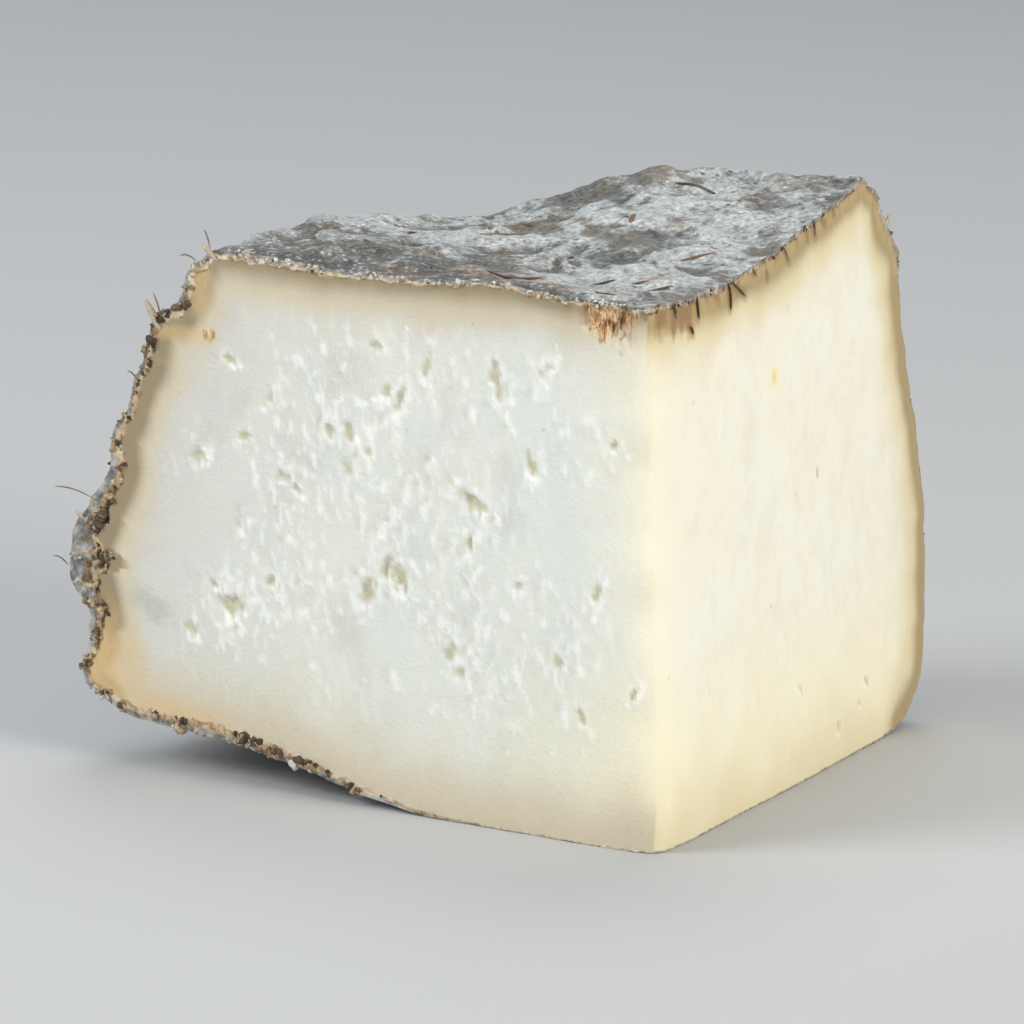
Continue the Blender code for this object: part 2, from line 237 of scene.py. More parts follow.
leftWay, rightWay, upWay = Vector((-0.70711, 0.70711, 0)), Vector((0.70711, 0.70711, 0)), Vector((0, 0, 1))
# the left cut's side is -1 and the right one's 1: its name, then the ways along it and out of the cheese
cutName = {-1: "left", 1: "right"}
cutWays = {-1: (leftWay, -rightWay), 1: (rightWay, -leftWay)}


def sideRadius(height):
    wide, belly = wheel["widestRadius"], wheel["widestHeight"]
    if height >= belly:
        share = (height - belly) / (wheel["height"] - belly)
        return wide - (wide - wheel["shoulderRadius"]) * share * share
    share = 1 - height / belly
    bulge = (1 - share ** wheel["footFullness"]) ** (1 / wheel["footFullness"])
    return wheel["footRadius"] + (wide - wheel["footRadius"]) * bulge


def turnedProfile():
    # (radius, height) from the top's centre over the side to the base's centre
    high, rounding, foot = wheel["height"], wheel["shoulderRounding"], wheel["footRadius"]
    flat = wheel["shoulderRadius"] - rounding
    steps = round(flat / wheel["topStep"])
    points = [(flat * i / steps, high) for i in range(steps)]
    for i in range(6):
        turn = math.pi / 2 * i / 6
        points.append((flat + rounding * math.sin(turn), high - rounding * (1 - math.cos(turn))))
    sideTop = high - rounding
    steps = round(sideTop / wheel["sideStep"])
    points += [(sideRadius(h), h) for h in (sideTop * (1 - i / steps) for i in range(steps))]
    points += [(foot - inset * mm, 0.0) for inset in (0, 0.8, 1.8, 3, 5, 8, 13, 20, 28, 38, 49)] + [(0.0, 0.0)]
    return points


def skinAt(angle, height):
    around = Vector((math.sin(angle), math.cos(angle), 0))
    slope = (sideRadius(height + 0.5 * mm) - sideRadius(height - 0.5 * mm)) / mm
    point = Vector((wheel["centreFromCorner"], 0, height)) + around * sideRadius(height)
    return point, (around - Vector((0, 0, slope))).normalized()


def relief(point, angle):
    lumpHeight, lumpSize, lumpShift = wheel["lump"]
    cragHeight, cragSize, cragShift = wheel["crag"]
    knobHeight, knobRadius, knobAt = wheel["knob"]
    lumps = noise.noise(point / lumpSize + lumpShift)
    crags = noise.fractal(point / cragSize + cragShift, 0.9, 2.1, 2)
    crags *= 1 + 0.9 * (1 - smoothStep(28, 44, abs(angle)))
    crags *= 1 - 0.5 * smoothStep(54 * mm, 60 * mm, point.z)
    knob = 1 - smoothStep(0.2, 1.0, (point - knobAt).length / knobRadius)
    return lumpHeight * lumps + cragHeight * crags + knobHeight * knob


def handMade(point, outward, extra=0.0):
    # where a point of the true wheel is on this uneven one. Distances are from the cuts' corner
    angle = math.degrees(math.atan2(point.x, point.y))
    reach = math.hypot(point.x, point.y)
    right = smoothStep(-6, 28, angle) * (1 - smoothStep(120, 170, angle))
    left = smoothStep(-28, -44, angle) * (1 - smoothStep(-120, -170, angle))
    nearLeft = smoothStep(-8, -40, angle) * (1 - smoothStep(-120, -170, angle))
    out = min(1.06, reach / wheel["shoulderRadius"])
    share = max(0.0, min(1.0, point.z / wheel["height"]))
    offBase = smoothStep(0.0, 5 * mm, point.z)
    moved = point + outward * (relief(point, angle) + extra) * offBase
    leftSpread, rightSpread = (readList(wheel[name], point.z / mm) for name in ("leftSide", "rightSide"))
    spread = (nearLeft * leftSpread + right * rightSpread) * (mm * smoothStep(42 * mm, 56 * mm, reach))
    moved += Vector((point.x, point.y, 0)).normalized() * spread
    rise = wheel["rightRimRise"] * right * out ** 2.6 + left * mm * readList(wheel["leftTop"], reach / mm)
    moved.z += rise * share ** 1.5
    moved.z += wheel["leftFootLift"] * nearLeft * smoothStep(26 * mm, 56 * mm, reach) * (1 - share) ** 2
    return moved


def fineRelief(point, onTop):
    # the rind's wrinkles and pits: height in metres, and how deep in a hollow the point is, from 0 to 1
    stretch = Vector((1, 1, 1)) if onTop else Vector((1, 1, 0.62))
    place = point * stretch
    patch = noise.noise(point / (9 * mm) + Vector((3.1, 8.2, 1.7)))
    warp = noise.noise_vector(point / (1.6 * mm)) * 0.45
    nearest = noise.voronoi(place / wheel["pitSize"] + warp)[0][0]
    pit = (1 - smoothStep(0.05, 0.40, nearest)) * smoothStep(0.02, 0.45, patch)
    wrinkle = noise.fractal(place / wheel["wrinkleSize"] + Vector((5, 9, 2)), 0.75, 2.15, 3)
    ridge = 1 - 2 * abs(noise.noise(place / (3.6 * mm) + Vector((7.7, 1.2, 4.4))))
    out, low, high = wheel["ledge"]
    angle = math.degrees(math.atan2(point.x, point.y))
    ledge = smoothStep(low, high - 1.2 * mm, point.z) * smoothStep(high + 0.6 * mm, high - 0.4 * mm, point.z)
    ledge *= smoothStep(-38, -44, angle)
    height = wheel["wrinkleHeight"] * (wrinkle + 0.15 * ridge) * (wheel["topWrinkles"] if onTop else 1.0)
    height -= wheel["pitDepth"] * pit
    height += out * ledge * (0.8 + 0.5 * wrinkle) * (not onTop)
    valley = noise.fractal(point / wheel["crag"][1] + wheel["crag"][2], 0.9, 2.1, 2)
    hollow = 0.75 * pit + 0.35 * smoothStep(0.05, -0.6, wrinkle) + 0.5 * smoothStep(0.15, -0.6, valley)
    return height, min(1.0, hollow)


def makeWheelPart():
    # the part of the wheel that holds the wedge, closed by two flat ends that the knives remove
    profile = turnedProfile()
    turns = [*np.arange(-97, -60, 1.5), *np.arange(-60, -50, 0.6), *np.arange(-50, 44, 0.39), 44.5, 47, 50]
    turns = [math.radians(float(t)) for t in turns]
    points, hollows = [], []
    centre = wheel["centreFromCorner"]
    for i, (radius, height) in enumerate(profile):
        before, after = profile[max(0, i - 1)], profile[min(len(profile) - 1, i + 1)]
        flow = Vector((after[0] - before[0], after[1] - before[1])).normalized()
        onTop = i < 0.9 * wheel["shoulderRadius"] / wheel["topStep"]
        for turn in turns if radius else turns[:1]:
            point = Vector((centre + radius * math.sin(turn), radius * math.cos(turn), height))
            outward = Vector((-flow.y * math.sin(turn), -flow.y * math.cos(turn), flow.x))
            if not radius:
                outward = Vector((0, 0, 1 if height else -1))
            extra, hollow = fineRelief(point, onTop) if height else (0.0, 0.0)
            points.append(handMade(point, outward, extra))
            hollows.append(hollow)
    count, rings = len(turns), len(profile) - 2
    at = lambda ring, turn: 1 + ring * count + turn
    last = len(points) - 1
    strip = range(count - 1)
    faces = [(0, at(0, t + 1), at(0, t)) for t in strip]
    for ring in range(rings - 1):
        faces += [(at(ring, t), at(ring, t + 1), at(ring + 1, t + 1), at(ring + 1, t)) for t in strip]
    faces += [(at(rings - 1, t), at(rings - 1, t + 1), last) for t in strip]
    faces.append((0, *(at(ring, 0) for ring in range(rings)), last))
    faces.append((last, *(at(ring, count - 1) for ring in reversed(range(rings))), 0))
    piece = newMesh("cheeseWedge", points, faces)
    writeValues(piece.data, "hollow", hollows)
    for name in ("eye", "fleck"):
        writeValues(piece.data, name, np.zeros(len(points)))
    return piece


# The two cuts

leftCut = {
    "side": -1, "step": 0.4 * mm, "wave": 0.34 * mm, "core": 1.0,
    # openings: distance from the corner, height, width and height of each, in millimetres
    "eyes": (
        (31.9, 27.6, 2.2, 2.6), (30.8, 26.2, 2.0, 2.4), (51.9, 20.4, 2.8, 2.4), (53.8, 22.4, 1.8, 1.0),
        (21.8, 36.2, 2.6, 2.4), (36.5, 41.8, 1.3, 2.4), (39.0, 42.0, 1.0, 1.4), (34.2, 40.4, 0.9, 2.0),
        (46.1, 44.6, 1.7, 2.0), (49.6, 40.0, 1.5, 1.0), (51.1, 48.2, 1.5, 1.3), (33.2, 51.9, 1.5, 1.0),
        (18.6, 50.2, 1.3, 3.6), (30.3, 46.4, 1.0, 2.8), (31.9, 47.2, 1.0, 1.8), (27.0, 50.6, 0.8, 2.4),
        (44.8, 36.0, 1.6, 1.5), (43.1, 34.8, 1.3, 1.3), (36.9, 37.8, 1.0, 2.0), (34.7, 24.4, 1.9, 2.4),
        (46.8, 24.0, 1.3, 1.2), (55.3, 36.6, 2.0, 1.6), (25.0, 19.2, 1.4, 3.4), (23.6, 16.8, 1.2, 2.2),
        (57.0, 17.0, 1.4, 2.0), (11.7, 19.6, 1.0, 2.4), (2.5, 17.8, 1.2, 1.6), (6.8, 28.6, 1.1, 3.0),
        (16.6, 27.6, 1.2, 1.2), (9.2, 14.6, 0.8, 2.8), (14.5, 41.0, 1.2, 3.2), (22.2, 31.8, 1.0, 3.2),
        (12.7, 51.8, 1.2, 2.2), (4.8, 44.6, 1.3, 1.3),
    ),
    "torn": ((2.9, 58.4, 3.0, 4.0), (5.2, 57.9, 4.0, 4.8), (7.2, 58.6, 2.8, 3.6)),
    # where the knife pulled up shreds of paste: middle along and up, spread in millimetres, how many
    "shreds": (
        (18.5, 50.0, 1.4, 11), (13.0, 51.5, 1.1, 8), (27.0, 49.0, 1.8, 10), (31.0, 46.0, 1.4, 8),
        (36.0, 40.5, 2.2, 14), (30.0, 38.0, 3.5, 11), (25.0, 40.0, 2.6, 8), (22.0, 34.5, 2.0, 14),
        (24.0, 31.0, 1.8, 8), (31.0, 33.0, 2.8, 10), (43.0, 34.0, 1.8, 8), (34.0, 25.0, 2.2, 12),
        (42.0, 28.0, 3.5, 13), (24.0, 21.0, 2.0, 12), (21.0, 17.0, 1.8, 8), (44.0, 22.0, 2.6, 10),
        (48.0, 18.0, 2.2, 8), (52.0, 21.0, 1.6, 8), (12.0, 21.0, 1.4, 6), (6.8, 28.5, 0.6, 4),
        (9.2, 14.0, 0.8, 4), (17.0, 27.5, 1.1, 5), (14.5, 41.0, 0.9, 6), (5.0, 44.0, 1.8, 5),
        (33.0, 15.0, 4.5, 7), (15.0, 12.0, 4.0, 7), (46.0, 45.0, 1.0, 3), (55.0, 37.0, 1.0, 4),
    ),
}
rightCut = {
    "side": 1, "step": 0.6 * mm, "wave": 0.22 * mm, "core": 0.12,
    "eyes": (
        (32.6, 47.8, 1.1, 1.1), (44.7, 34.9, 0.8, 0.8), (38.8, 10.9, 0.9, 0.9), (58.8, 7.9, 1.4, 1.2),
        (56.7, 5.8, 0.9, 0.9), (50.3, 4.1, 1.1, 1.3),
    ),
    "torn": (),
    "shreds": ((30.0, 30.0, 14.0, 14),),
}
cutRelief = {
    "eyeDepth": 0.20,  # as a share of its width
    "widestEye": 2.0,
    "eyeRim": 0.15,
    "tornDepth": 0.45,
    "knifeThickness": 170 * mm,
    "reach": 2.6,  # of one shred, in millimetres
}


def openingAway(number, across, rise, wide, high, along, up):
    # how far a point is from an opening's ragged middle: about 1 at its edge
    away = math.hypot(across / (0.5 * wide), rise / (0.5 * high))
    return away + (0.95 * noiseAt(along / 0.9, up / 1.3, number * 3.7)
                   + 0.45 * noiseAt(along / 0.42, up / 0.6, number * 1.9))


def cutSurface(cut, x, y):
    # how far the cut stands out at x along it and y up it, then how deep in an eye and how torn up and bright.
    # The eye's olive is also painted shade in the dents, and the brightness is partly a painted highlight
    slow = noiseAt(x / (26 * mm), y / (30 * mm), 4.0 * cut["side"])
    drag = noiseAt(x / (3.2 * mm), y / (9 * mm), 11.0 * cut["side"])
    height = cut["wave"] * (slow + 0.25 * drag) * smoothStep(1 * mm, 8 * mm, abs(x))
    along, up = x / mm, y / mm
    inner = smoothStep(1, 9, along) * smoothStep(64, 50, along) * smoothStep(7, 17, up) * smoothStep(57, 50, up)
    inner *= cut["core"]
    patch = noiseAt(along / 8.5, up / 10, 2.4) * 0.75 + 0.25
    patch = smoothStep(0.0, 0.55, patch + 0.2 * noiseAt(along / 3, up / 3, 5.4))
    stroke = noiseAt(along / 0.85 - up * 0.12, up / 2.1, 31.0) + 0.3 * noiseAt(along / 0.5, up / 0.9, 12.0)
    crumb = noise.fractal(Vector((along / 1.5, up / 2.2, 17.0)), 0.8, 2.1, 3)
    # raised flecks are painted bright, partly as a highlight, and dents get a little olive as painted shade
    fleck = smoothStep(0.16, 0.42, stroke) * inner * patch * 0.6
    dent = smoothStep(0.14, 0.45, -stroke) * inner * patch
    height += (0.05 * crumb * (0.2 + 0.8 * patch) * (0.15 + inner) + 0.10 * fleck - 0.06 * dent) * mm
    eye = 0.08 * dent
    for number, (atAlong, atUp, wide, high) in enumerate(cut["eyes"] + cut["torn"]):
        across, rise = along - atAlong, up - atUp
        if abs(across) > 1.2 * wide + 0.6 or abs(rise) > 1.2 * high + 0.6:
            continue
        across += 0.35 * math.sin(7.3 * number) * rise  # each leans its own way
        away = openingAway(number, across, rise, wide, high, along, up)
        if number >= len(cut["eyes"]):
            rags = noiseAt(along / 0.6, up / 2.6, 8.0)
            height -= (cutRelief["tornDepth"] + 0.5 * rags) * (1 - smoothStep(0.5, 1.15, away)) * mm
            continue
        depth = cutRelief["eyeDepth"] * min(wide, cutRelief["widestEye"]) * (1 - smoothStep(0.15, 1.25, away))
        depth *= 1 + 1.1 * noiseAt(along / 0.8, up / 0.9, 40.0)
        rim = smoothStep(0.7, 1.15, away) * smoothStep(2.6, 1.3, away)
        shred = 0.45 + 1.5 * noiseAt(along / 0.55, up / 1.5, number * 0.7)
        lower = smoothStep(0.9, -0.7, across + 0.6 * rise)  # the torn paste hangs on the right and beneath, and its brightness there is a painted highlight
        height += (cutRelief["eyeRim"] * rim * shred * lower - depth) * mm
        torn = rim * max(0.0, min(1.0, shred)) * (0.35 + 0.65 * lower)
        fleck = max(fleck * smoothStep(0.5, 1.0, away), torn)
        eye = max(eye, 1 - smoothStep(0.35, 1.15, away))
    return height, eye, fleck


def pullShreds(cut, xs, ys, heights, flecksAndHighlights, eyes):
    # each shred is a short upright ridge with a dent on its outer side. The ridge is painted bright, partly a painted
    # highlight, and the dent's far side olive as painted shade
    rng = random.Random(23)
    along, up = np.meshgrid(np.array(xs) / mm, np.array(ys) / mm)
    rough = np.array([[noiseAt(a / 0.75, u / 1.1, 7.0) for a, u in zip(*row)] for row in zip(along, up)])
    for atAlong, atUp, spread, count in cut["shreds"]:
        for _ in range(count):
            x, y = rng.gauss(atAlong, spread), rng.gauss(atUp, spread * 1.25)
            strong, high, wide = rng.uniform(0.15, 1.0) ** 1.2, rng.uniform(0.6, 1.9) ** 2, rng.uniform(0.22, 0.62)
            lean, curve = rng.gauss(-0.10, 0.30), rng.gauss(0, 0.18)
            if not (2 < x < 60 and 7 < y < 55):
                continue
            near = (abs(along - x) < cutRelief["reach"]) & (abs(up - y) < cutRelief["reach"])
            rise = (up[near] - y) / (0.5 * high)
            across = (along[near] - x - lean * (up[near] - y) - curve * rise ** 2) / wide + 1.5 * rough[near]
            fade = np.clip(1 - rise ** 2 + 1.2 * rough[near], 0, 1)
            bell = lambda middle, width: np.exp(-(((across - middle) / width) ** 2))
            ridge, dent = bell(0, 1) * fade * strong, bell(1.5, 1.3) * fade * strong
            heights[near] += (0.15 * ridge - 0.17 * dent) * mm
            flecksAndHighlights[near] = np.maximum(flecksAndHighlights[near], 1.3 * bell(0.2, 1) * fade * (0.15 + 0.75 * strong))
            eyes[near] = np.maximum(eyes[near], 0.40 * bell(2.0, 1.1) * fade * strong)


def makeKnife(name, cut, paste):
    # a thick block whose front is one cut, finely divided where the cheese is
    step, (way, away) = cut["step"], cutWays[cut["side"]]
    xs = [-82 * mm, -40 * mm, -8 * mm, -2 * mm, *np.arange(-0.6, 2.0, 0.2) * mm,
          *np.arange(2.1 * mm, 76 * mm, step), 80 * mm, 90 * mm]
    ys = [-8 * mm, -3 * mm, *np.arange(-0.8 * mm, 69 * mm, step), 76 * mm, 92 * mm]
    found = np.array([[cutSurface(cut, float(x), float(y)) for x in xs] for y in ys])
    # eyes holds the olive of the eyes and the painted shade in the dents
    heights, eyes, flecksAndHighlights = (found[:, :, k].copy() for k in range(3))
    pullShreds(cut, xs, ys, heights, flecksAndHighlights, eyes)
    points = [way * float(x) + upWay * float(y) + away * float(heights[r, c])
              for r, y in enumerate(ys) for c, x in enumerate(xs)]
    rows, columns, front = len(ys), len(xs), len(points)
    at = lambda row, column: row * columns + column
    faces = [(at(r, c), at(r, c + 1), at(r + 1, c + 1), at(r + 1, c))
             for r in range(rows - 1) for c in range(columns - 1)]
    bottom, top = ([at(r, c) for c in range(columns)] for r in (0, rows - 1))
    start, end = ([at(r, c) for r in range(rows)] for c in (0, columns - 1))
    corners = (bottom[0], bottom[-1], top[-1], top[0])
    points += [points[i] + away * cutRelief["knifeThickness"] for i in corners]
    back = [front + i for i in range(4)]
    faces += [(back[0], back[3], back[2], back[1]), (*reversed(bottom), back[0], back[1]),
              (*top, back[2], back[3]), (*start, back[3], back[0]), (*reversed(end), back[1], back[2])]
    if cut["side"] > 0:  # the front has to face into the cheese on both cuts
        faces = [tuple(reversed(face)) for face in faces]
    knife = newMesh(name, points, faces)
    layers = {"hollow": np.zeros(front), "eye": eyes.ravel(), "fleck": np.clip(flecksAndHighlights, 0, 1).ravel()}
    for layer, found in layers.items():
        writeValues(knife.data, layer, np.append(found, np.zeros(4)))
    knife.data.materials.append(paste)
    return knife


def cutAway(piece, knife):
    step = piece.modifiers.new("cut", "BOOLEAN")
    step.operation, step.solver, step.material_mode, step.object = "DIFFERENCE", "MANIFOLD", "TRANSFER", knife
    bpy.context.view_layer.update()
    graph = bpy.context.evaluated_depsgraph_get()
    mesh = bpy.data.meshes.new_from_object(piece.evaluated_get(graph), depsgraph=graph)
    piece.modifiers.clear()
    piece.data = mesh
    bpy.data.objects.remove(knife)


# Which part of the wedge each point is on, and how far it is from the rind

crust = {
    # thickness in millimetres of the crumbly brown crust seen on each cut, by height on the side and by reach elsewhere
    "leftTop": ((0, 0.7), (20, 0.55), (40, 0.8), (50, 1.1)),
    "leftSide": ((5, 0.9), (10, 1.1), (15, 1.5), (18, 3.0), (22, 5.2), (25, 4.8), (30, 2.5), (35, 1.6), (40, 1.1),
                 (49, 0.8), (52, 1.4), (60, 1.4)),
    "leftFoot": ((20, 0.2), (30, 0.5), (40, 1.1), (50, 1.6), (60, 1.5), (70, 1.4)),
    "rightTop": ((0, 0.7), (15, 0.75), (30, 0.6), (60, 0.7)),
    "rightSide": ((0, 0.10), (50, 0.15), (60, 0.4)),
    "rightFoot": ((0, 0.15), (70, 0.25)),
    # how brown the paste is next to the crust, and over how many millimetres that fades. Along the left side it is also
    # painted shade beside the crust
    "ageing": {"leftTop": (1.0, 6.5), "leftSide": (1.6, 4.4), "leftFoot": (0.52, 13.0),
               "rightTop": (1.5, 6.5), "rightSide": (1.5, 7.0), "rightFoot": (0.38, 15.0)},
    # stems that show on the right cut beneath the rind, each in a brown stain: along and under the rim at both ends,
    # then half the width. A stem of under 0.2 mm is a stain alone
    "stems": (
        ((20.0, 0.1), (20.6, 3.2), 0.32), ((21.0, 0.3), (24.6, 2.9), 0.30), ((11.6, 0.1), (12.1, 2.9), 0.24),
        ((9.7, 3.0), (10.5, 4.1), 0.27), ((35.2, 0.2), (36.7, 2.6), 0.20), ((43.6, 0.1), (44.2, 2.0), 0.26),
        ((5.6, 0.2), (6.2, 1.9), 0.21), ((26.3, 0.1), (27.6, 1.3), 0.21), ((16.8, 0.1), (17.2, 1.9), 0.19),
        ((41.4, 0.2), (42.0, 1.8), 0.19), ((46.0, 0.2), (47.2, 1.6), 0.19), ((30.6, 2.0), (30.8, 2.5), 0.10),
        ((14.2, 0.1), (14.5, 1.2), 0.19), ((38.6, 0.2), (38.9, 1.0), 0.12), ((49.4, 0.2), (49.8, 1.4), 0.16),
        ((3.0, 0.3), (3.2, 1.8), 0.19),
    ),
    # pale (or dark, below 0) and red-brown places on the top: along the left cut and behind it, both half widths,
    # strength
    "palePlaces": (
        (29.0, 22.0, 11.0, 7.0, 1.0), (4.0, 38.0, 5.0, 12.0, 0.3), (18.0, 38.0, 8.0, 6.0, 0.6),
        (22.0, 14.0, 8.0, 4.0, 0.5), (16.0, 27.5, 4.0, 5.0, -1.3), (8.2, 48.0, 3.5, 4.0, -1.3),
        (20.0, 50.0, 4.5, 3.5, -1.0), (40.0, 10.0, 7.0, 5.0, -1.0), (33.0, 47.0, 8.0, 6.0, -0.5),
    ),
    "rustPlaces": (
        (15.0, 4.2, 4.5, 2.4, 0.9), (22.5, 6.2, 5.0, 2.8, 0.95), (31.0, 3.4, 4.5, 2.0, 0.7),
        (9.0, 8.5, 3.5, 2.4, 0.5), (16.0, 27.5, 3.0, 4.0, 0.10), (8.2, 48.0, 3.0, 3.5, 0.12),
        (42.0, 14.0, 5.0, 3.0, 0.3),
    ),
    # orange places on the left cut: along and up, both half widths, strength, where they end and where they are full
    "softPlaces": (
        (68.5, 11.5, 6.0, 6.5, 1.0, 1.35, 0.15), (61, 7.0, 9.0, 2.4, 0.75, 1.3, 0.2),
        (57.5, 50.3, 5.5, 1.2, 0.7, 1.1, 0.3), (54.6, 56.0, 1.6, 4.5, 0.7, 1.2, 0.4),
    ),
    # small yellow (or grey, below 0) spots on the right cut: along and up, radius, strength
    "spots": (
        (32.5, 47.8, 1.15, 0.8), (44.7, 34.9, 0.5, -0.7), (38.8, 33.5, 0.35, -0.5), (36.5, 55.0, 0.3, -0.4),
        (58.8, 7.9, 0.7, -0.4), (50.3, 4.1, 0.6, -0.5),
    ),
    "roughness": 0.26 * mm,
    "rimSpots": {-1: 970, 1: 1430},
    "faceMiddle": (35, 30),  # along and up
}


def faceSets(mesh):
    # the points that each material's faces use
    sets = [set(), set(), set()]
    for face in mesh.polygons:
        sets[face.material_index].update(face.vertices)
    return sets


def placesOf(mesh):
    points = np.empty(len(mesh.vertices) * 3, np.float64)
    mesh.vertices.foreach_get("co", points)
    return points.reshape(-1, 3)


def fillCutEdges(mesh, rimPoints):
    # points that a cut has just made hold no value, so they take their neighbours' highest
    cheese = bmesh.new()
    cheese.from_mesh(mesh)
    cheese.verts.ensure_lookup_table()
    layer = cheese.verts.layers.float["hollow"]
    for index in rimPoints:
        vertex = cheese.verts[index]
        near = [edge.other_vert(vertex) for edge in vertex.link_edges]
        vertex[layer] = max((v[layer] for v in near if v.index not in rimPoints), default=0.0)
    cheese.to_mesh(mesh)
    cheese.free()


def zoneOf(side, along, up):
    if up > 56 - 0.6 * side:
        return "Top"
    if up < 8 and along < 68.5 and up < 4 + 0.05 * along * (side < 0):
        return "Foot"
    return "Side"


def stainAt(along, up, start, end, wide):
    # how brown the stain round a stem is, from 0 to 1
    flow, rise = end[0] - start[0], end[1] - start[1]
    share = ((along - start[0]) * flow + (up - start[1]) * rise) / (flow * flow + rise * rise)
    share = min(1.0, max(0.0, share))
    away = math.hypot(along - start[0] - share * flow, up - start[1] - share * rise)
    away += 0.25 * noiseAt(along / 0.8, up / 1.2, 3.0)
    return (1 - 0.4 * share) * smoothStep(0.6 + 2.2 * wide, 0.25, away)


paintedValues = ("underRind", "crustDepth", "ageing", "softCorner", "tornPatch", "smudge", "darkBand", "nearCorner",
                 "onTop", "core", "paleCrust", "stain", "yellowSpot", "dim", "lowGlow", "rust", "pale")


def zoneTrees(side, rim):
    # a search tree of the rim's points for each part of the rind
    trees = {}
    for zone in ("Top", "Side", "Foot"):
        spots = [spot for spot in rim if zoneOf(side, *spot) == zone]
        trees[zone] = kdtree.KDTree(len(spots))
        for number, (along, up) in enumerate(spots):
            trees[zone].insert((along, up, 0), number)
        trees[zone].balance()
    return trees


def evenRim(side, places, rim):
    # even spots from the foot round to the top, because the cut's own points change from run to run:
    # each with its place, how far along and how far up it is
    rows = np.column_stack([places, rim])
    along, up = rows[:, 3] - crust["faceMiddle"][0], rows[:, 4] - crust["faceMiddle"][1]
    rows = rows[np.argsort(np.arctan2(up, along))]
    steps = np.hypot(np.diff(rows[:, 3]), np.diff(rows[:, 4]))
    length = np.concatenate([[0], np.cumsum(steps)])
    spots = np.linspace(0, length[-1], crust["rimSpots"][side])
    columns = [np.interp(spots, length, column) for column in rows.T]
    return [(np.array(row[:3]), row[3], row[4]) for row in np.array(columns).T.tolist()]


def stemsUnder(rim):
    # the right cut's stems, hung from its rim at the top
    topRim = list(zip(*sorted(spot for spot in rim if spot[1] > 56)))
    hung = lambda along, drop: (along, round(float(np.interp(along, *topRim)), 1) - drop)
    return [(hung(*first), hung(*last), wide) for first, last, wide in crust["stems"]]


def paintNearRind(values, i, side, along, up, trees, ragged):
    # how far the rind is, how thick its crust is and how brown the paste beside it, with painted shade along the left
    # side and painted light towards the foot. Returns how far the point is from the crust
    cloud = 1 + 0.30 * noiseAt(along / 6, up / 6, 9.0 * side)
    found = []
    for zone, tree in trees.items():
        (rimAlong, rimUp, _), _, distance = tree.find((along, up, 0))
        place = cutName[side] + zone
        depth = readList(crust[place], rimUp if zone == "Side" else rimAlong)
        strength, reach = crust["ageing"][place]
        clear = max(0.0, distance - depth)
        ageAndShade = strength * math.exp(-((clear / (reach * 0.5 * cloud)) ** 1.15))
        # along the left side: painted shade, darker and greyer towards the crust
        if place == "leftSide":
            ageAndShade += 0.06 * math.exp(-clear / 15)
            values["dim"][i] = math.exp(-clear / 12)
        found.append((distance, zone, depth, clear, rimUp))
        values["ageing"][i] = max(values["ageing"][i], ageAndShade)
    distance, zone, depth, clear, rimUp = min(found)
    values["underRind"][i] = distance
    values["crustDepth"][i] = depth * (1 + 0.38 * ragged)
    values["paleCrust"][i] = {"Top": 1.0, "Side": 0.5 * smoothStep(31, 37, rimUp) - 0.2, "Foot": 0.3}[zone]
    # painted light: the paste brighter and yellower towards the foot
    values["lowGlow"][i] = smoothStep(24, 2, up) * (1.0 if side > 0 else smoothStep(30, 4, along))
    return clear


def paintRight(values, i, along, up, clear, ragged, stems):
    # stems' stains and a rusty corner under the rim, and a few spots lower down
    values["paleCrust"][i] = -0.35
    if up > 54:
        streak = noiseAt(along / 0.9, up / 3.0, 15.0)
        corner = smoothStep(0, 2.6, along)
        rimStain = 0.62 * smoothStep(-0.15, 0.4, streak) * smoothStep(3.0, 0.3, clear + 0.8 * ragged)
        cornerStain = (0.95 + 0.7 * streak) * corner * smoothStep(18, 6, along)
        cornerStain *= smoothStep(4.6, 0.8, clear + 1.3 * ragged)
        values["stain"][i] = max(rimStain, cornerStain, *(stainAt(along, up, *stem) for stem in stems))
        rusty = 0.75 * corner * smoothStep(20, 5, along) * smoothStep(4.8, 0.4, clear + 1.2 * ragged)
        values["softCorner"][i] = max(rusty, 0.30 * smoothStep(2.4, 0.2, clear + 0.8 * ragged))
    for atAlong, atUp, size, strength in crust["spots"]:
        near = math.hypot(along - atAlong, up - atUp) / size + 0.3 * ragged
        name, end = ("yellowSpot", 1.4) if strength > 0 else ("smudge", 1.3)
        values[name][i] = max(values[name][i], abs(strength) * smoothStep(end, 0.3, near))


def paintLeft(values, i, along, up):
    # the torn-up middle, soft orange places near the rind, the torn patch and a smudge
    middle = smoothStep(3, 12, along) * smoothStep(60, 40, along) * smoothStep(9, 20, up) * smoothStep(56, 48, up)
    values["core"][i] = middle * smoothStep(-0.35, 0.45, noiseAt(along / 8.5, up / 10, 2.4))
    ragged = noiseAt(along / 2.5, up / 2.5, 3.0)
    for atAlong, atUp, halfAlong, halfUp, strength, end, start in crust["softPlaces"]:
        away = math.hypot((along - atAlong) / halfAlong, (up - atUp) / halfUp) + 0.3 * ragged
        values["softCorner"][i] = max(values["softCorner"][i], strength * smoothStep(end, start, away))
    patch = math.hypot((along - 5.2) / 3.3, (up - 58.9) / 3.0) + 0.45 * noiseAt(along / 0.7, up / 2.0, 6.0)
    dot = math.hypot((along - 53.6) / 0.9, (up - 50.6) / 0.8)
    values["tornPatch"][i] = max(smoothStep(1.05, 0.75, patch), smoothStep(1.1, 0.6, dot))
    smudge = math.hypot((along - 61.8) / 3.4, (up - 19.2 - 0.3 * (along - 62)) / 1.9) + 0.5 * ragged
    smudge += 0.4 * noiseAt(along / 0.8, up / 0.8, 6.0)
    values["smudge"][i] = 0.55 * smoothStep(1.2, 0.2, smudge)


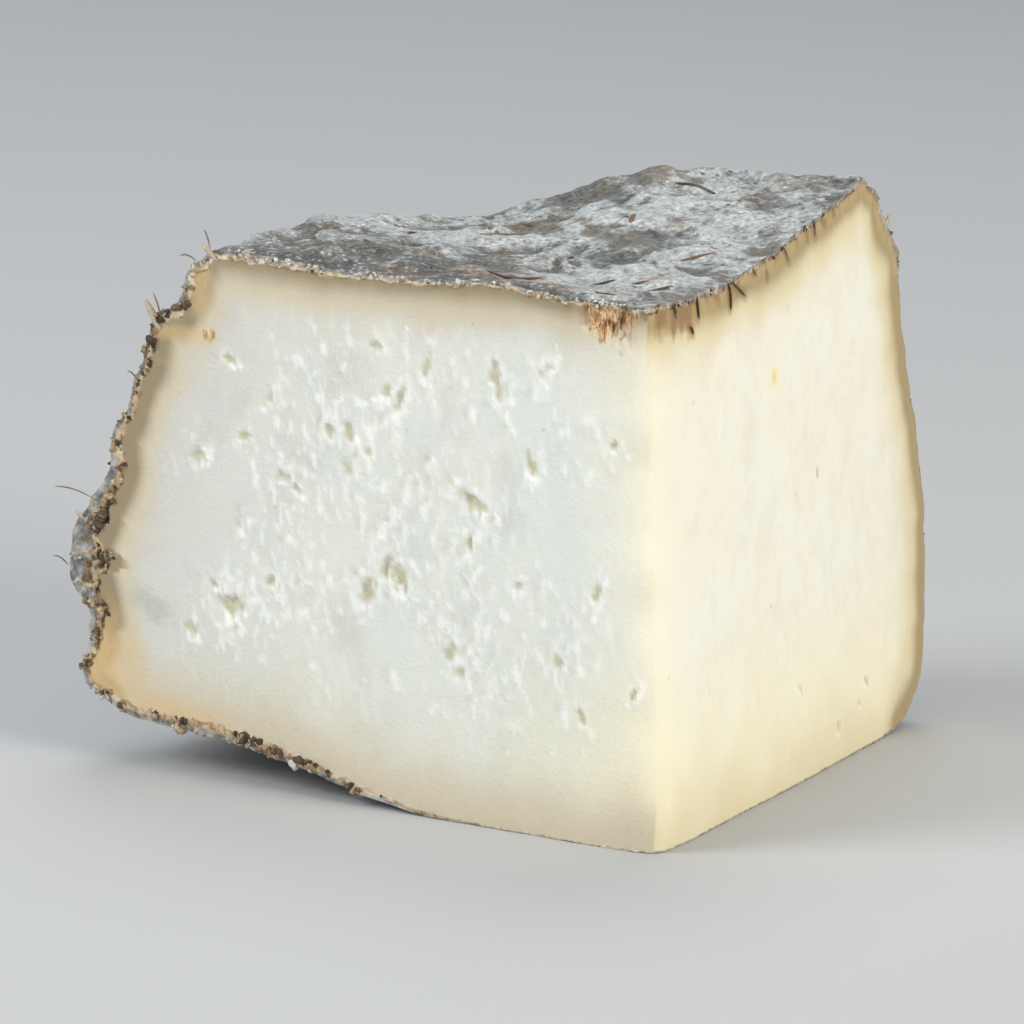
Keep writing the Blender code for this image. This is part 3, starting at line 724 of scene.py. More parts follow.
def roughenCrust(values, places, side, face):
    away = np.array(cutWays[side][1])
    for i in sorted(face):
        depth = values["crustDepth"][i]
        inCrust = smoothStep(1.25, 0.7, values["underRind"][i] / max(0.2, depth))
        if inCrust > 0 and (side < 0 or places[i][2] > 50 * mm):
            point = Vector(places[i]) / mm
            lumps = noise.noise(point / 1.05) + 0.7 * noise.noise(point / 2.1)
            places[i] += away * crust["roughness"] * lumps * inCrust * min(1.6, 0.5 + depth / 2)


def wearCorner(values, places):
    # rounds off the edge between the cuts
    reach = np.hypot(places[:, 0], places[:, 1]) / mm
    # the mask of the painted light near the corner between the cuts, wider low down
    values["nearCorner"] = smoothSteps(9.0 + 3 * (places[:, 2] < 20 * mm), 0.0, reach)
    uneven = np.array([0.9 + 0.6 * noiseAt(1.3, 2.2, z / (6 * mm)) for z in places[:, 2]])
    radius = wheel["cornerWear"] * uneven * smoothSteps(12.0, 5.0, reach)
    places[:, 1] += np.sqrt(places[:, 0] ** 2 + radius ** 2) - np.abs(places[:, 0])


def paintTop(values, places, rind):
    # the dark band by the left cut, and the pale and red-brown places
    along, behind = places @ np.array(leftWay) / mm, places @ np.array(rightWay) / mm
    onTop = smoothSteps(50, 56, places[:, 2] / mm)
    wobble = np.array([noise.noise(Vector(p) / (3.2 * mm)) for p in places])
    nearCut = smoothSteps(8.0, 2.5, behind + 2.2 * wobble)
    farther = 0.6 * smoothSteps(28.0, 7.0, behind + 6 * wobble) * smoothSteps(14, 30, along)
    band = onTop * np.maximum(nearCut, farther) * smoothSteps(5, 15, along) * smoothSteps(56, 50, along)
    onRind = list(rind)
    values["darkBand"][onRind] = band[onRind]
    for name in ("rust", "pale"):
        for atAlong, atBehind, halfAlong, halfBehind, strength in crust[name + "Places"]:
            away = np.hypot((along - atAlong) / halfAlong, (behind - atBehind) / halfBehind) + 0.5 * wobble
            values[name] += strength * onTop * smoothSteps(1.3, 0.3, away)
    values["onTop"] = onTop


def paintWedge(mesh):
    # writes the values that the materials read, roughens the crust, and returns the rims and the right cut's stems
    rind, *faces = faceSets(mesh)
    fillCutEdges(mesh, rind & (faces[0] | faces[1]))
    places = placesOf(mesh)
    values = {name: np.zeros(len(places), np.float32) for name in paintedValues}
    values["underRind"][:] = 30.0
    rims = []
    for side, face in zip((-1, 1), faces):
        way = np.array(cutWays[side][0])
        rim = sorted(face & rind)
        flat = [(float(places[i] @ way) / mm, float(places[i][2]) / mm) for i in rim]
        trees, stems = zoneTrees(side, flat), stemsUnder(flat)
        for i in sorted(face):
            along, up = float(places[i] @ way) / mm, float(places[i][2]) / mm
            ragged = noiseAt(along / 1.6, up / 1.6, 5.0 * side) + 0.5 * noiseAt(along / 0.7, up / 0.7, side)
            clear = paintNearRind(values, i, side, along, up, trees, ragged)
            if side > 0:
                paintRight(values, i, along, up, clear, ragged, stems)
            else:
                paintLeft(values, i, along, up)
        rims.append((side, evenRim(side, places[rim], flat)))
        roughenCrust(values, places, side, face)
    wearCorner(values, places)
    paintTop(values, places, rind)
    # lean, and the origin under the middle
    places[:, 0] += wheel["lean"][0] * places[:, 2]
    places[:, 1] += wheel["lean"][1] * places[:, 2] - wheel["originFromCorner"]
    mesh.vertices.foreach_set("co", places.astype(np.float32).ravel())
    for name, found in values.items():
        writeValues(mesh, name, found)
    mesh.update()
    return rims, stems


def stand(point):
    lean = wheel["lean"]
    return Vector((point.x + lean[0] * point.z, point.y + lean[1] * point.z - wheel["originFromCorner"], point.z))


# Paste of the two cuts

pasteLook = {
    # the two cuts' core and cool colours differ as painted light: cooler and darker on the left, warmer and brighter on
    # the right
    "left": {
        "core": (0.80, 0.81, 0.735),
        "cool": (0.765, 0.80, 0.745),
        # also the colour of the painted shade beside the left crust
        "dull": (0.60, 0.58, 0.53),
        "old": (0.66, 0.59, 0.44),
        "oldest": (0.34, 0.27, 0.165),
        # white of the torn shreds, partly a painted highlight
        "bright": (0.985, 0.99, 0.955),
        "dullness": 0.5,
        "clouding": 0.10,
        "bump": 0.20 * mm,
    },
    "right": {
        "core": (0.87, 0.835, 0.70),
        "cool": (0.86, 0.85, 0.76),
        "dull": (0.80, 0.76, 0.63),
        "old": (0.745, 0.655, 0.43),
        "oldest": (0.40, 0.31, 0.165),
        # white of the torn shreds, partly a painted highlight
        "bright": (0.93, 0.91, 0.82),
        "dullness": 0.75,
        "clouding": 0.24,
        "bump": 0.12 * mm,
    },
    # painted light near the corner between the cuts and towards the foot
    "paintedCornerLight": (0.90, 0.865, 0.69),
    "lowGlow": (0.92, 0.86, 0.62),
    # olive of the eyes, also painted shade in the dents beside the shreds
    "eye": (0.58, 0.54, 0.34),
    "speck": (0.42, 0.36, 0.20),
    "stain": (0.27, 0.165, 0.07),
    "yellowSpot": (0.88, 0.72, 0.30),
    "softCorner": (0.72, 0.51, 0.25),
    "smudge": (0.42, 0.43, 0.36),
    "torn": ((0.0, (0.10, 0.055, 0.03)), (0.30, (0.42, 0.22, 0.10)), (0.6, (0.68, 0.43, 0.215)),
             (1.0, (0.84, 0.70, 0.47))),
    # its darkest stop also serves the painted shade in the crust's gaps
    "crust": ((0.0, (0.03, 0.025, 0.02)), (0.25, (0.13, 0.085, 0.05)), (0.48, (0.38, 0.25, 0.13)),
              (0.70, (0.60, 0.47, 0.31)), (1.0, (0.80, 0.76, 0.66))),
    "crustSkin": ((0.10, 0.10, 0.095), (0.44, 0.44, 0.41)),
    "subsurface": 0.22,
    "depth": 2.2 * mm,
    "roughness": 0.52,
}


def agedPasteAndPaintedLight(place, side, fine):
    # pale in the middle with cooler and duller clouds, brighter and warmer at the corner and the foot as painted light,
    # tan beneath the rind, and on the left cut darker beside the crust as painted shade
    look = pasteLook[side]
    clouds = place.grain((9.0, 9.0, 14.0), 2.0, 0.6, shift=(9, 4, 2)).between(0.35, 0.65)
    dull = place.grain((6.0, 6.0, 9.0), 3.0, 0.6, shift=(2, 8, 2)).between(0.50, 0.78)
    colour = clouds.mix(look["cool"], look["core"])
    colour = (dull * look["dullness"]).mix(colour, look["dull"])
    # on the left cut painted shade beside the crust, on the right grey blotches
    if side == "left":
        shadeAndBlotches = painted(place, "dim")
    else:
        shadeAndBlotches = place.grain((2.6, 2.6, 3.8), 3.0, 0.6, shift=(1, 4, 1)).between(0.46, 0.68) * 0.45
    colour = shadeAndBlotches.mix(colour, look["dull"])
    # painted light: brighter and yellower near the corner between the cuts and towards the foot
    colour = (painted(place, "nearCorner") * 0.85).mix(colour, pasteLook["paintedCornerLight"])
    colour = (painted(place, "lowGlow") * 0.75).mix(colour, pasteLook["lowGlow"])
    # tan beneath the rind, along the left side also painted shade
    ageAndShade = painted(place, "ageing") + (place.grain(11.0, 2.0, 0.55) - 0.5) * look["clouding"] + (fine - 0.5) * 0.06
    colour = ageAndShade.between(0.0, 0.46).mix(colour, look["old"])
    return ageAndShade.between(0.38, 1.0).mix(colour, look["oldest"])


def markedPaste(place, side, colour, fine, shred):
    # soft and grey places, torn-up white shreds, eyes, specks, and the stains that each cut has of its own. The white
    # of shreds and eye rims is partly a painted highlight, and the eyes' olive is also painted shade in the dents
    tint = lambda share, name: share.mix(colour, pasteLook[name])
    smear = place.grain((0.5, 0.5, 3.5), 2.0, 0.5, shift=(3, 1, 7))
    colour = tint(painted(place, "softCorner") * (0.75 + (fine - 0.5) * 0.8), "softCorner")
    colour = tint(painted(place, "smudge") * (0.4 + smear * 0.8), "smudge")
    # white shreds and eye rims, partly a painted highlight
    colour = (painted(place, "fleck") * (0.55 + shred)).mix(colour, pasteLook[side]["bright"])
    if side == "left":
        pulled = shred.between(0.58, 0.72) * painted(place, "core") * 0.55
        colour = pulled.mix(colour, pasteLook[side]["bright"])
    # olive in the eyes, and painted shade in the dents beside the shreds
    colour = tint(painted(place, "eye") * (0.80 + (shred - 0.5) * 0.5), "eye")
    speck = 1 - place.cells(6.5, shift=(2, 5, 1)).between(0.02, 0.06)
    colour = tint(speck * 0.30, "speck")
    if side == "left":
        rags = place.grain((0.45, 0.45, 2.2), 3.0, 0.7, shift=(1, 8, 3)).between(0.32, 0.68)
        return painted(place, "tornPatch").mix(colour, rags.ramp(pasteLook["torn"]))
    colour = tint((painted(place, "stain") + (fine - 0.5) * 0.3).between(0.12, 0.95) * 0.85, "stain")
    return tint(painted(place, "yellowSpot"), "yellowSpot")


def crustColour(place, side, fine, under, depth):
    # grey mould outside, brown crumbs within, and black painted shade in the gaps where the crust is thick
    share = under / (depth + 0.01)
    tone = place.node("ShaderNodeSeparateColor", None, {0: place.cells(0.62, out=1)}) * 0.42
    tone = tone + place.grain(1.3, 4.0, 0.7, shift=(4, 4, 4)) * 0.9 - 0.12 + painted(place, "paleCrust") * 0.22
    # black painted shade in the gaps where the crust is thick
    gapShade = (share + (fine - 0.5) * 0.8).between(0.62, 0.88) * depth.between(1.4, 2.4)
    gapShade = gapShade * place.grain(0.9, 3.0, 0.6, shift=(5, 1, 1)).between(0.44, 0.56)
    edge = place.grain(1.1, 3.0, 0.65, shift=(8, 8, 1)) - 0.5
    skin = 1 - (share + edge * 1.3).between(0.30, 0.60)
    if side == "right":
        skin = 0.35 + skin * 0.5
    mould = place.grain((1.4, 1.4, 2.0), 3.0, 0.6, shift=(1, 3, 9)).between(0.30, 0.70)
    return skin.mix((tone - gapShade * 0.6).ramp(pasteLook["crust"]), mould.mix(*pasteLook["crustSkin"]))


def makePaste(side):
    material, shader, place = newMaterial(side + "Paste")
    under, depth = painted(place, "underRind"), painted(place, "crustDepth")
    fine = place.grain((1.1, 1.1, 2.6), 2.0, 0.6)
    shred = place.grain((0.28, 0.28, 1.1), 2.0, 0.65, shift=(6, 2, 2))
    colour = markedPaste(place, side, agedPasteAndPaintedLight(place, side, fine), fine, shred)
    inCrust = 1 - (under - depth + (fine - 0.5) * 0.5).between(-0.15, 0.18)
    connect(shader, "Base Color", inCrust.mix(colour, crustColour(place, side, fine, under, depth)))
    connect(shader, "Roughness", (fine - 0.5) * 0.2 + inCrust * 0.35 + pasteLook["roughness"])
    settings = {"Subsurface Weight": pasteLook["subsurface"], "Subsurface Radius": (1.0, 0.78, 0.5),
                "Subsurface Scale": pasteLook["depth"], "IOR": 1.42, "Specular IOR Level": 0.35}
    for socket, value in settings.items():
        shader.inputs[socket].default_value = value
    bumpCrust = 1 - (under - depth).between(-0.15, 0.18)
    height = fine * 0.45 + place.grain(0.45, 1.0, 0.6) * 0.35 + bumpCrust * (place.cells(0.8) * 1.3)
    if side == "left":
        height = height + shred * painted(place, "core") * 0.7
    addBump(shader, place, height, pasteLook[side]["bump"])
    return material


# Mouldy rind

rindLook = {
    "bloom": (0.56, 0.585, 0.58),
    "mid": (0.235, 0.24, 0.225),
    "deep": (0.062, 0.060, 0.052),
    "warm": (0.24, 0.185, 0.12),
    "brown": ((0.075, 0.056, 0.038), (0.25, 0.20, 0.14)),
    "dark": (0.030, 0.030, 0.028),
    "band": (0.040, 0.042, 0.040),
    "ochre": (0.40, 0.235, 0.085),
    "rust": (0.26, 0.14, 0.085),
    "salt": (0.72, 0.74, 0.73),
    "shade": ((0.42, 0.42, 0.425), (1.34, 1.34, 1.32)),
    "patchSize": 13.0,
    "sheen": 0.2,
    "sheenTint": (0.9, 0.95, 1.0, 1.0),
    "bump": 0.36 * mm,
}


def makeRind():
    look = rindLook
    material, shader, place = newMaterial("mouldyRind")
    hollow, darkBand, onTop = painted(place, "hollow"), painted(place, "darkBand"), painted(place, "onTop")
    fine = place.grain((0.55, 0.55, 0.75), 5.0, 0.75)
    middle = place.grain((2.3, 2.3, 3.0), 5.0, 0.68, shift=(7, 2, 5))
    large = place.grain(look["patchSize"], 2.0, 0.55, warp=0.7, shift=(1, 9, 6))
    grit = place.grain((0.95, 0.95, 1.2), 4.0, 0.75, shift=(11, 6, 2))
    sideFelt = place.grain((0.32, 0.32, 2.0), 3.0, 0.6, warp=1.0, shift=(5, 5, 0))
    topFelt = place.grain((1.5, 0.55, 0.6), 4.0, 0.65, warp=0.6, shift=(5, 5, 0))
    felt = sideFelt * (1 - onTop) + topFelt * onTop
    # grey-blue mould, darker in places, warmer in others
    colour = (middle * 0.65 + fine * 0.5).between(0.38, 0.74).mix(look["deep"], look["mid"])
    warmField = place.grain(7.0, 3.0, 0.6, warp=0.5, shift=(4, 11, 3))
    warm = (warmField + (felt - 0.5) * 0.5 + darkBand * 0.16).between(0.44, 0.64)
    colour = (warm * 0.75).mix(colour, look["warm"])
    # white bloom in wide soft patches, broken up by the grain
    bloom = large * 1.45 + middle * 0.60 + grit * 0.45 + felt * 0.10 + onTop * 0.10
    bloom = (bloom + painted(place, "pale") * 0.20 - hollow * 0.50 - darkBand * 0.26).between(1.08, 1.44)
    colour = (bloom * 0.95).mix(colour, look["bloom"])
    # brown velvet patches and small ochre spots
    brownField = place.grain(19.0, 1.0, 0.5, warp=0.5, shift=(12, 3, 8))
    brown = (brownField * 0.9 + middle * 0.30 + fine * 0.15 - onTop * 0.12).between(0.70, 0.80) * 0.88
    colour = brown.mix(colour, (felt * 0.7 + fine * 0.4).between(0.38, 0.72).mix(*look["brown"]))
    spot = place.cells(13.0, shift=(3, 3, 9))
    ochre = (1 - (spot + (middle - 0.5) * 0.35).between(0.05, 0.19)) * 0.6
    colour = ochre.mix(colour, look["ochre"])
    # pits and dark threads, thick in some places and few in others, and darker in the relief's hollows
    dirty = place.grain(8.0, 3.0, 0.6, warp=0.4, shift=(2, 2, 14)).between(0.42, 0.66)
    pit = place.cells((1.05, 1.05, 1.5), shift=(8, 1, 2))
    pits = (1 - (pit + (fine - 0.5) * 0.35).between(0.08, 0.30)) * (dirty * 0.85 + 0.10)
    threads = (1 - (felt + (fine - 0.5) * 0.4).between(0.24, 0.42)) * (dirty * 0.6 + 0.15) * (1 - onTop * 0.6)
    specks = (1 - (place.cells(1.9, shift=(4, 9, 4)) + (fine - 0.5) * 0.3).between(0.10, 0.22)) * dirty
    dark = (hollow * 0.62 + pits * 0.6 + threads * 0.7 + specks).maths("MINIMUM", 1.0)
    colour = (dark * 0.86).mix(colour, look["dark"])
    # the dark band by the left cut, and red-brown places
    band = darkBand * (1 - (fine * 0.7 + middle * 0.5).between(0.60, 0.70) * 0.85)
    colour = (band * 0.88).mix(colour, look["band"])
    rust = painted(place, "rust") * (felt * 0.7 + middle * 0.6).between(0.46, 0.72) * 0.9
    colour = rust.mix(colour, look["rust"])
    # pale grains of mould
    grain = place.cells(0.85, shift=(1, 1, 7))
    salt = (1 - (grain + (fine - 0.5) * 0.3).between(0.12, 0.36)) * (bloom * 0.7 + darkBand * 0.55 + 0.12)
    colour = (salt * 0.75).mix(colour, look["salt"])
    # the felt's own light and shade
    shade = (felt * 0.12 + fine * 0.40 + grit * 0.48).between(0.35, 0.65).mix(*look["shade"])
    settings = {"data_type": "RGBA", "blend_type": "MULTIPLY"}
    colour = place.node("ShaderNodeMix", settings, {0: 1.0, 6: colour, 7: shade}, out=2)
    connect(shader, "Base Color", colour)
    connect(shader, "Roughness", (fine - 0.5) * 0.2 + 0.88)
    shader.inputs["Sheen Weight"].default_value = look["sheen"]
    shader.inputs["Sheen Roughness"].default_value = 0.6
    shader.inputs["Sheen Tint"].default_value = look["sheenTint"]
    shader.inputs["Specular IOR Level"].default_value = 0.15
    height = fine * 0.8 + middle * 0.35 + grit * 0.5 - pits * 0.7 + (1 - grain) * 0.12
    addBump(shader, place, height * (1 - onTop * 0.3), look["bump"])
    return material


# Needles and stems pressed into the rind, where the CAD has them, and finer ones

needles = {
    "radius": 0.55 * mm,
    "lengths": (9 * mm, 21 * mm),
    "sideCount": 25,
    "points": 5,
    "tubeSides": 8,
    "tubeSteps": 22,
    # both ends of each on the top: distance along the left cut and behind it, then its bend, in millimetres
    "top": (((24.5, 7.5), (11.5, 15.5), 0.6), ((33.0, 3.5), (22.5, 4.6), -0.5), ((48.5, 16.5), (44.0, 8.0), 0.5),
            ((14.0, 29.0), (19.5, 39.5), -1.2), ((36.0, 24.0), (27.0, 38.0), 1.6), ((8.5, 4.0), (3.0, 16.5), 0.7),
            ((7.5, 46.5), (20.5, 50.5), 0.9), ((4.0, 33.5), (11.5, 23.0), -0.8)),
    "stemCount": 46,
    "stemRadius": (0.11 * mm, 0.26 * mm),
}


def sidePath(rng, lengths=None):
    angle, height = math.radians(rng.uniform(-33, 37)), rng.uniform(9, 48) * mm
    heading = rng.choice((rng.gauss(0.5, 0.35), rng.gauss(1.9, 0.5)))
    length, bend = rng.uniform(*(lengths or needles["lengths"])), rng.uniform(-0.7, 0.7)
    lifted = rng.uniform(1.2, 3.2) * mm if rng.random() < 0.25 else 0.0
    path = []
    for i in range(needles["points"]):
        share = i / (needles["points"] - 1)
        turn = heading + bend * share
        if angle > 0.70 and len(path) > 1:
            break  # the right cut took the rest
        point, outward = skinAt(angle, height)
        pressed = smoothStep(0.45, 0.05, angle)  # flat where it would show past the right cut
        rise = 0.25 * mm + lifted * pressed * share ** 3 - 0.3 * mm * (1 - share) ** 4
        path.append(handMade(point, outward) + outward * rise)
        step = length / (needles["points"] - 1)
        angle += step * math.cos(turn) / sideRadius(height)
        height = min(52 * mm, max(6 * mm, height + step * math.sin(turn)))
    return path


def topEnds(along, behind, length, turn):
    # both ends of a straight piece on the top, given its middle, half its length and its heading
    shift = length * math.cos(turn), length * math.sin(turn)
    return (along - shift[0], behind - shift[1]), (along + shift[0], behind + shift[1])


def topPath(start, end, bend):
    first, last = (leftWay * along * mm + rightWay * behind * mm for along, behind in (start, end))
    across = (last - first).cross(upWay).normalized()
    path = []
    for i in range(needles["points"]):
        share = i / (needles["points"] - 1)
        flat = first.lerp(last, share) + across * bend * mm * 4 * share * (1 - share)
        point = Vector((flat.x, flat.y, wheel["height"]))
        sunk = (0.2 * math.sin(9 * share + start[0]) - 0.16) * mm
        path.append(handMade(point, upWay) + Vector((0, 0, sunk)))
    return path


def smoothPath(path, steps):
    # Catmull-Rom through the given points
    points = [path[0] * 2 - path[1], *path, path[-1] * 2 - path[-2]]
    found = []
    for i in range(steps + 1):
        spot = i / steps * (len(path) - 1)
        k = min(int(spot), len(path) - 2)
        t = spot - k
        a, b, c, d = points[k:k + 4]
        square, cube = 2 * a - 5 * b + 4 * c - d, 3 * b - a - 3 * c + d
        found.append(0.5 * (2 * b + (c - a) * t + square * t * t + cube * t ** 3))
    return found


class Tubes:
    def __init__(self):
        self.points, self.faces, self.tones = [], [], []

    def add(self, path, radius, tone, sides, steps, taper=0.45, flat=1.0):
        line = smoothPath([stand(p) for p in path], steps)
        first = len(self.points)
        side = None
        for i, point in enumerate(line):
            ahead = (line[min(i + 1, steps)] - line[max(i - 1, 0)]).normalized()
            if side is None:
                side = ahead.cross(upWay if abs(ahead.z) < 0.8 else leftWay).normalized()
            side = (side - ahead * side.dot(ahead)).normalized()
            over = ahead.cross(side)
            size = radius * (1 - taper * abs(2 * i / steps - 1) ** 3)
            size *= 1 + 0.16 * noise.noise(point / (1.3 * mm) + Vector((tone * 9, 3, 1)))
            for k in range(sides):
                turn = 2 * math.pi * k / sides
                self.points.append(point + side * size * math.cos(turn) + over * size * flat * math.sin(turn))
                self.tones.append(tone)
        at = lambda i, k: first + i * sides + k % sides
        for i in range(steps):
            self.faces += [(at(i, k), at(i, k + 1), at(i + 1, k + 1), at(i + 1, k)) for k in range(sides)]
        self.faces.append(tuple(at(0, k) for k in reversed(range(sides))))
        self.faces.append(tuple(at(steps, k) for k in range(sides)))

    def piece(self, name, material):
        made = newMesh(name, self.points, self.faces)
        writeValues(made.data, "tone", self.tones)
        made.data.materials.append(material)
        return made


def makeNeedles(material, stems):
    tubes, rng, more = Tubes(), random.Random(7), random.Random(31)
    shape = (needles["tubeSides"], needles["tubeSteps"])
    for i in range(needles["sideCount"]):
        path = sidePath(rng)
        tubes.add(path, 0.78 * needles["radius"] * rng.uniform(0.8, 1.15), more.uniform(0.12, 0.95), *shape, flat=0.8)
    for start, end, bend in needles["top"]:
        radius = needles["radius"] * rng.uniform(0.8, 1.1)
        tubes.add(topPath(start, end, bend), 0.5 * radius, more.uniform(0.15, 0.65), *shape, flat=0.8)
    for i in range(needles["stemCount"]):
        if i % 3:
            path = sidePath(more, (4 * mm, 13 * mm))
        else:
            along, behind, turn = more.uniform(4, 50), more.uniform(3, 50), more.uniform(0, math.tau)
            if math.hypot(along, behind) > 55:
                continue
            ends = topEnds(along, behind, more.uniform(2, 5), turn)
            if min(*ends[0], *ends[1]) < 1.5:
                continue
            path = topPath(*ends, more.uniform(-0.8, 0.8))
        tubes.add(path, more.uniform(*needles["stemRadius"]), more.uniform(0, 1), 6, 14)
    for start, end, thick in stems:
        if thick < 0.2:
            continue  # only its stain shows
        first, last = (rightWay * along * mm + upWay * up * mm for along, up in (start, end))
        bow = rightWay * more.uniform(-0.22, 0.22) * mm
        path = [first, first.lerp(last, 0.35) + bow, first.lerp(last, 0.7) + bow * 0.6, last]
        path = [p - leftWay * 0.02 * mm for p in path]
        tubes.add(path, 0.55 * thick * mm, more.uniform(0.1, 0.45), 6, 10, taper=0.85)
    return tubes.piece("needles", material)


needleLook = {
    "colours": ((0.0, (0.022, 0.016, 0.012)), (0.3, (0.075, 0.042, 0.024)), (0.55, (0.17, 0.080, 0.038)),
                (0.78, (0.20, 0.135, 0.075)), (1.0, (0.40, 0.32, 0.20))),
    "dust": (0.30, 0.31, 0.30),
}


def makeNeedleMaterial():
    material, shader, place = newMaterial("dryNeedle")
    streak = place.grain((0.5, 0.5, 0.5), 4.0, 0.7)
    colour = (painted(place, "tone") + (streak - 0.5) * 0.35).ramp(needleLook["colours"])
    dust = (place.grain(1.8, 4.0, 0.7, shift=(2, 9, 4)) + (streak - 0.5) * 0.5).between(0.52, 0.72)
    colour = (dust * 0.55).mix(colour, needleLook["dust"])
    connect(shader, "Base Color", colour)
    connect(shader, "Roughness", 0.55 + dust * 0.3)
    addBump(shader, place, streak, 0.12 * mm)
    return material


# Crumbs of torn crust along the edges of the cuts

crumbs = {
    "rimStep": 0.3,
    "crowding": 2.2,
    "deepest": 4.6,
    # per millimetre of rim, smallest and largest radius in millimetres, paleness
    "left": {"Top": (2.2, 0.10, 0.27, 0.82), "Side": (2.6, 0.12, 0.44, 0.46), "Foot": (2.9, 0.14, 0.48, 0.48)},
    "right": {"Top": (0.5, 0.08, 0.20, 0.22), "Side": (0.10, 0.08, 0.16, 0.5), "Foot": (0.05, 0.08, 0.16, 0.4)},
    # thin torn flaps at the rim: which cut, how high, how far out and up the tip is, and the width, in millimetres
    "flaps": ((-1, 50.4, 0.5, 3.2, 0.62), (-1, 59.4, 0.5, 1.2, 0.6), (1, 60.0, 0.4, 1.7, 0.5)),
}


def crumbBall():
    lump = bmesh.new()
    bmesh.ops.create_icosphere(lump, subdivisions=2, radius=1.0)
    points = np.array([v.co for v in lump.verts])
    faces = [[v.index for v in f.verts] for f in lump.faces]
    lump.free()
    return points, faces


def crumbPaleness(side, zone, up, sunk, paleness):
    # crumbs deep in the crust are darker, most of all where it is thick
    if zone == "Side" and 14 < up < 34 and side < 0:
        inner = 0.62 if sunk < 0.35 else 0.38 if sunk < 0.66 else 0.20
    else:
        inner = paleness - 0.36 * smoothStep(0.25, 0.7, sunk)
    return max(0.5 if zone == "Top" and side < 0 else 0.08, inner)


def crumbPoints(rng, ball, size):
    # the ball stretched, turned and made bumpy
    stretch = np.array([rng.uniform(0.5, 1.5) for _ in range(3)])
    angle, axis = rng.uniform(0, 6.3), Vector((rng.random(), rng.random(), rng.random() + 0.1)).normalized()
    turn = np.array(Matrix.Rotation(angle, 3, axis))
    shift = Vector((rng.uniform(0, 50), 2, 3))
    bumps = np.array([1 + 0.75 * noise.noise(Vector(p) * 1.25 + shift) for p in ball])
    return (ball * bumps[:, None] * stretch) @ turn.T * size


def makeFlaps(rims):
    flaps = Tubes()
    for side, up, outward, rise, wide in crumbs["flaps"]:
        way, away = cutWays[side]
        rim = dict(rims)[side]
        nearest = min((spot for spot in rim if spot[1] > 40), key=lambda spot: abs(spot[2] - up))
        first = Vector(nearest[0]) - way * 1.4 * mm - upWay * 0.7 * mm
        last = first + way * (outward + 1.4) * mm + upWay * (rise + 0.7) * mm
        path = [first.lerp(last, t) + away * mm * (0.3 * t * t - 0.3 * (1 - t)) for t in (0, 0.35, 0.7, 1)]
        flaps.add(path, wide * mm, 0.66, 8, 10, taper=0.8, flat=0.45)
    return flaps


def makeCrumbs(rims, material):
    rng = random.Random(5)
    ball, ballFaces = crumbBall()
    points, faces, tones = [], [], []
    for side, rim in rims:
        way, away = (np.array(w) for w in cutWays[side])
        for number, (place, along, up) in enumerate(rim):
            rng.seed(1000 * (side + 5) + number)  # a crumb more or less here changes none elsewhere
            zone = zoneOf(side, along, up)
            often, smallest, largest, paleness = crumbs[cutName[side]][zone]
            depth = readList(crust[cutName[side] + zone], up if zone == "Side" else along)
            if zone == "Foot" and (along < 33 and side < 0 or up < 0.7):
                continue  # the wedge rests there
            inward = {"Top": np.array((0, 0, -1)), "Foot": np.array((0, 0, 1)), "Side": -way}[zone]
            crowd = smoothStep(-0.25, 0.35, noiseAt(along / 1.7, up / 1.7, side))
            wanted = often * crumbs["rimStep"] * crumbs["crowding"] * crowd
            for _ in range(int(wanted) + (rng.random() < wanted % 1)):
                size = rng.uniform(smallest, largest) * mm * (0.7 + 0.6 * rng.random() ** 2)
                sunk = rng.uniform(0.0, 0.95)
                centre = place + inward * (sunk * min(depth, crumbs["deepest"]) * mm)
                centre = centre + away * rng.uniform(-0.75, -0.1) * size + way * rng.uniform(-0.3, 0.3) * mm
                start = len(points)
                points += [stand(Vector(p)) for p in crumbPoints(rng, ball, size) + centre]
                faces += [tuple(i + start for i in face) for face in ballFaces]
                inner = crumbPaleness(side, zone, up, sunk, paleness)
                tones += [rng.betavariate(6 * inner, 6 * (1 - inner))] * len(ball)
    flaps = makeFlaps(rims)
    faces += [tuple(i + len(points) for i in face) for face in flaps.faces]
    points += flaps.points
    points = [Vector((p.x, p.y, max(p.z, 0.02 * mm))) for p in points]
    piece = newMesh("crustCrumbs", points, faces)
    writeValues(piece.data, "tone", tones + flaps.tones)
    piece.data.materials.append(material)
    return piece


crumbLook = ((0.0, (0.035, 0.028, 0.022)), (0.25, (0.13, 0.085, 0.05)), (0.5, (0.42, 0.29, 0.16)),
             (0.75, (0.55, 0.51, 0.42)), (1.0, (0.72, 0.71, 0.66)))


def makeCrumbMaterial():
    material, shader, place = newMaterial("crustCrumb")
    fine = place.grain(0.5, 4.0, 0.7)
    colour = (painted(place, "tone") + (fine - 0.5) * 0.5).ramp(crumbLook)
    connect(shader, "Base Color", colour)
    connect(shader, "Roughness", 0.75 + (fine - 0.5) * 0.2)
    addBump(shader, place, fine, 0.15 * mm)
    return material


# Fine plant fibres and mould threads

fibres = {
    "sideCount": 190,
    "topCount": 60,
    "radius": (0.028 * mm, 0.055 * mm),
    # single ones that show at the left edge: along, up, then the far end's along, up and how far forward
    "edge": (((69.2, 30.2), (73.5, 30.9), 0.6), ((59.4, 51.0), (60.4, 54.4), 0.2), ((55.0, 58.6), (56.9, 59.0), 0.3),
             ((53.2, 60.2), (53.9, 62.2), 0.1), ((62.6, 44.0), (64.0, 45.2), 0.2), ((72.4, 22.0), (74.2, 22.8), 0.2)),
}


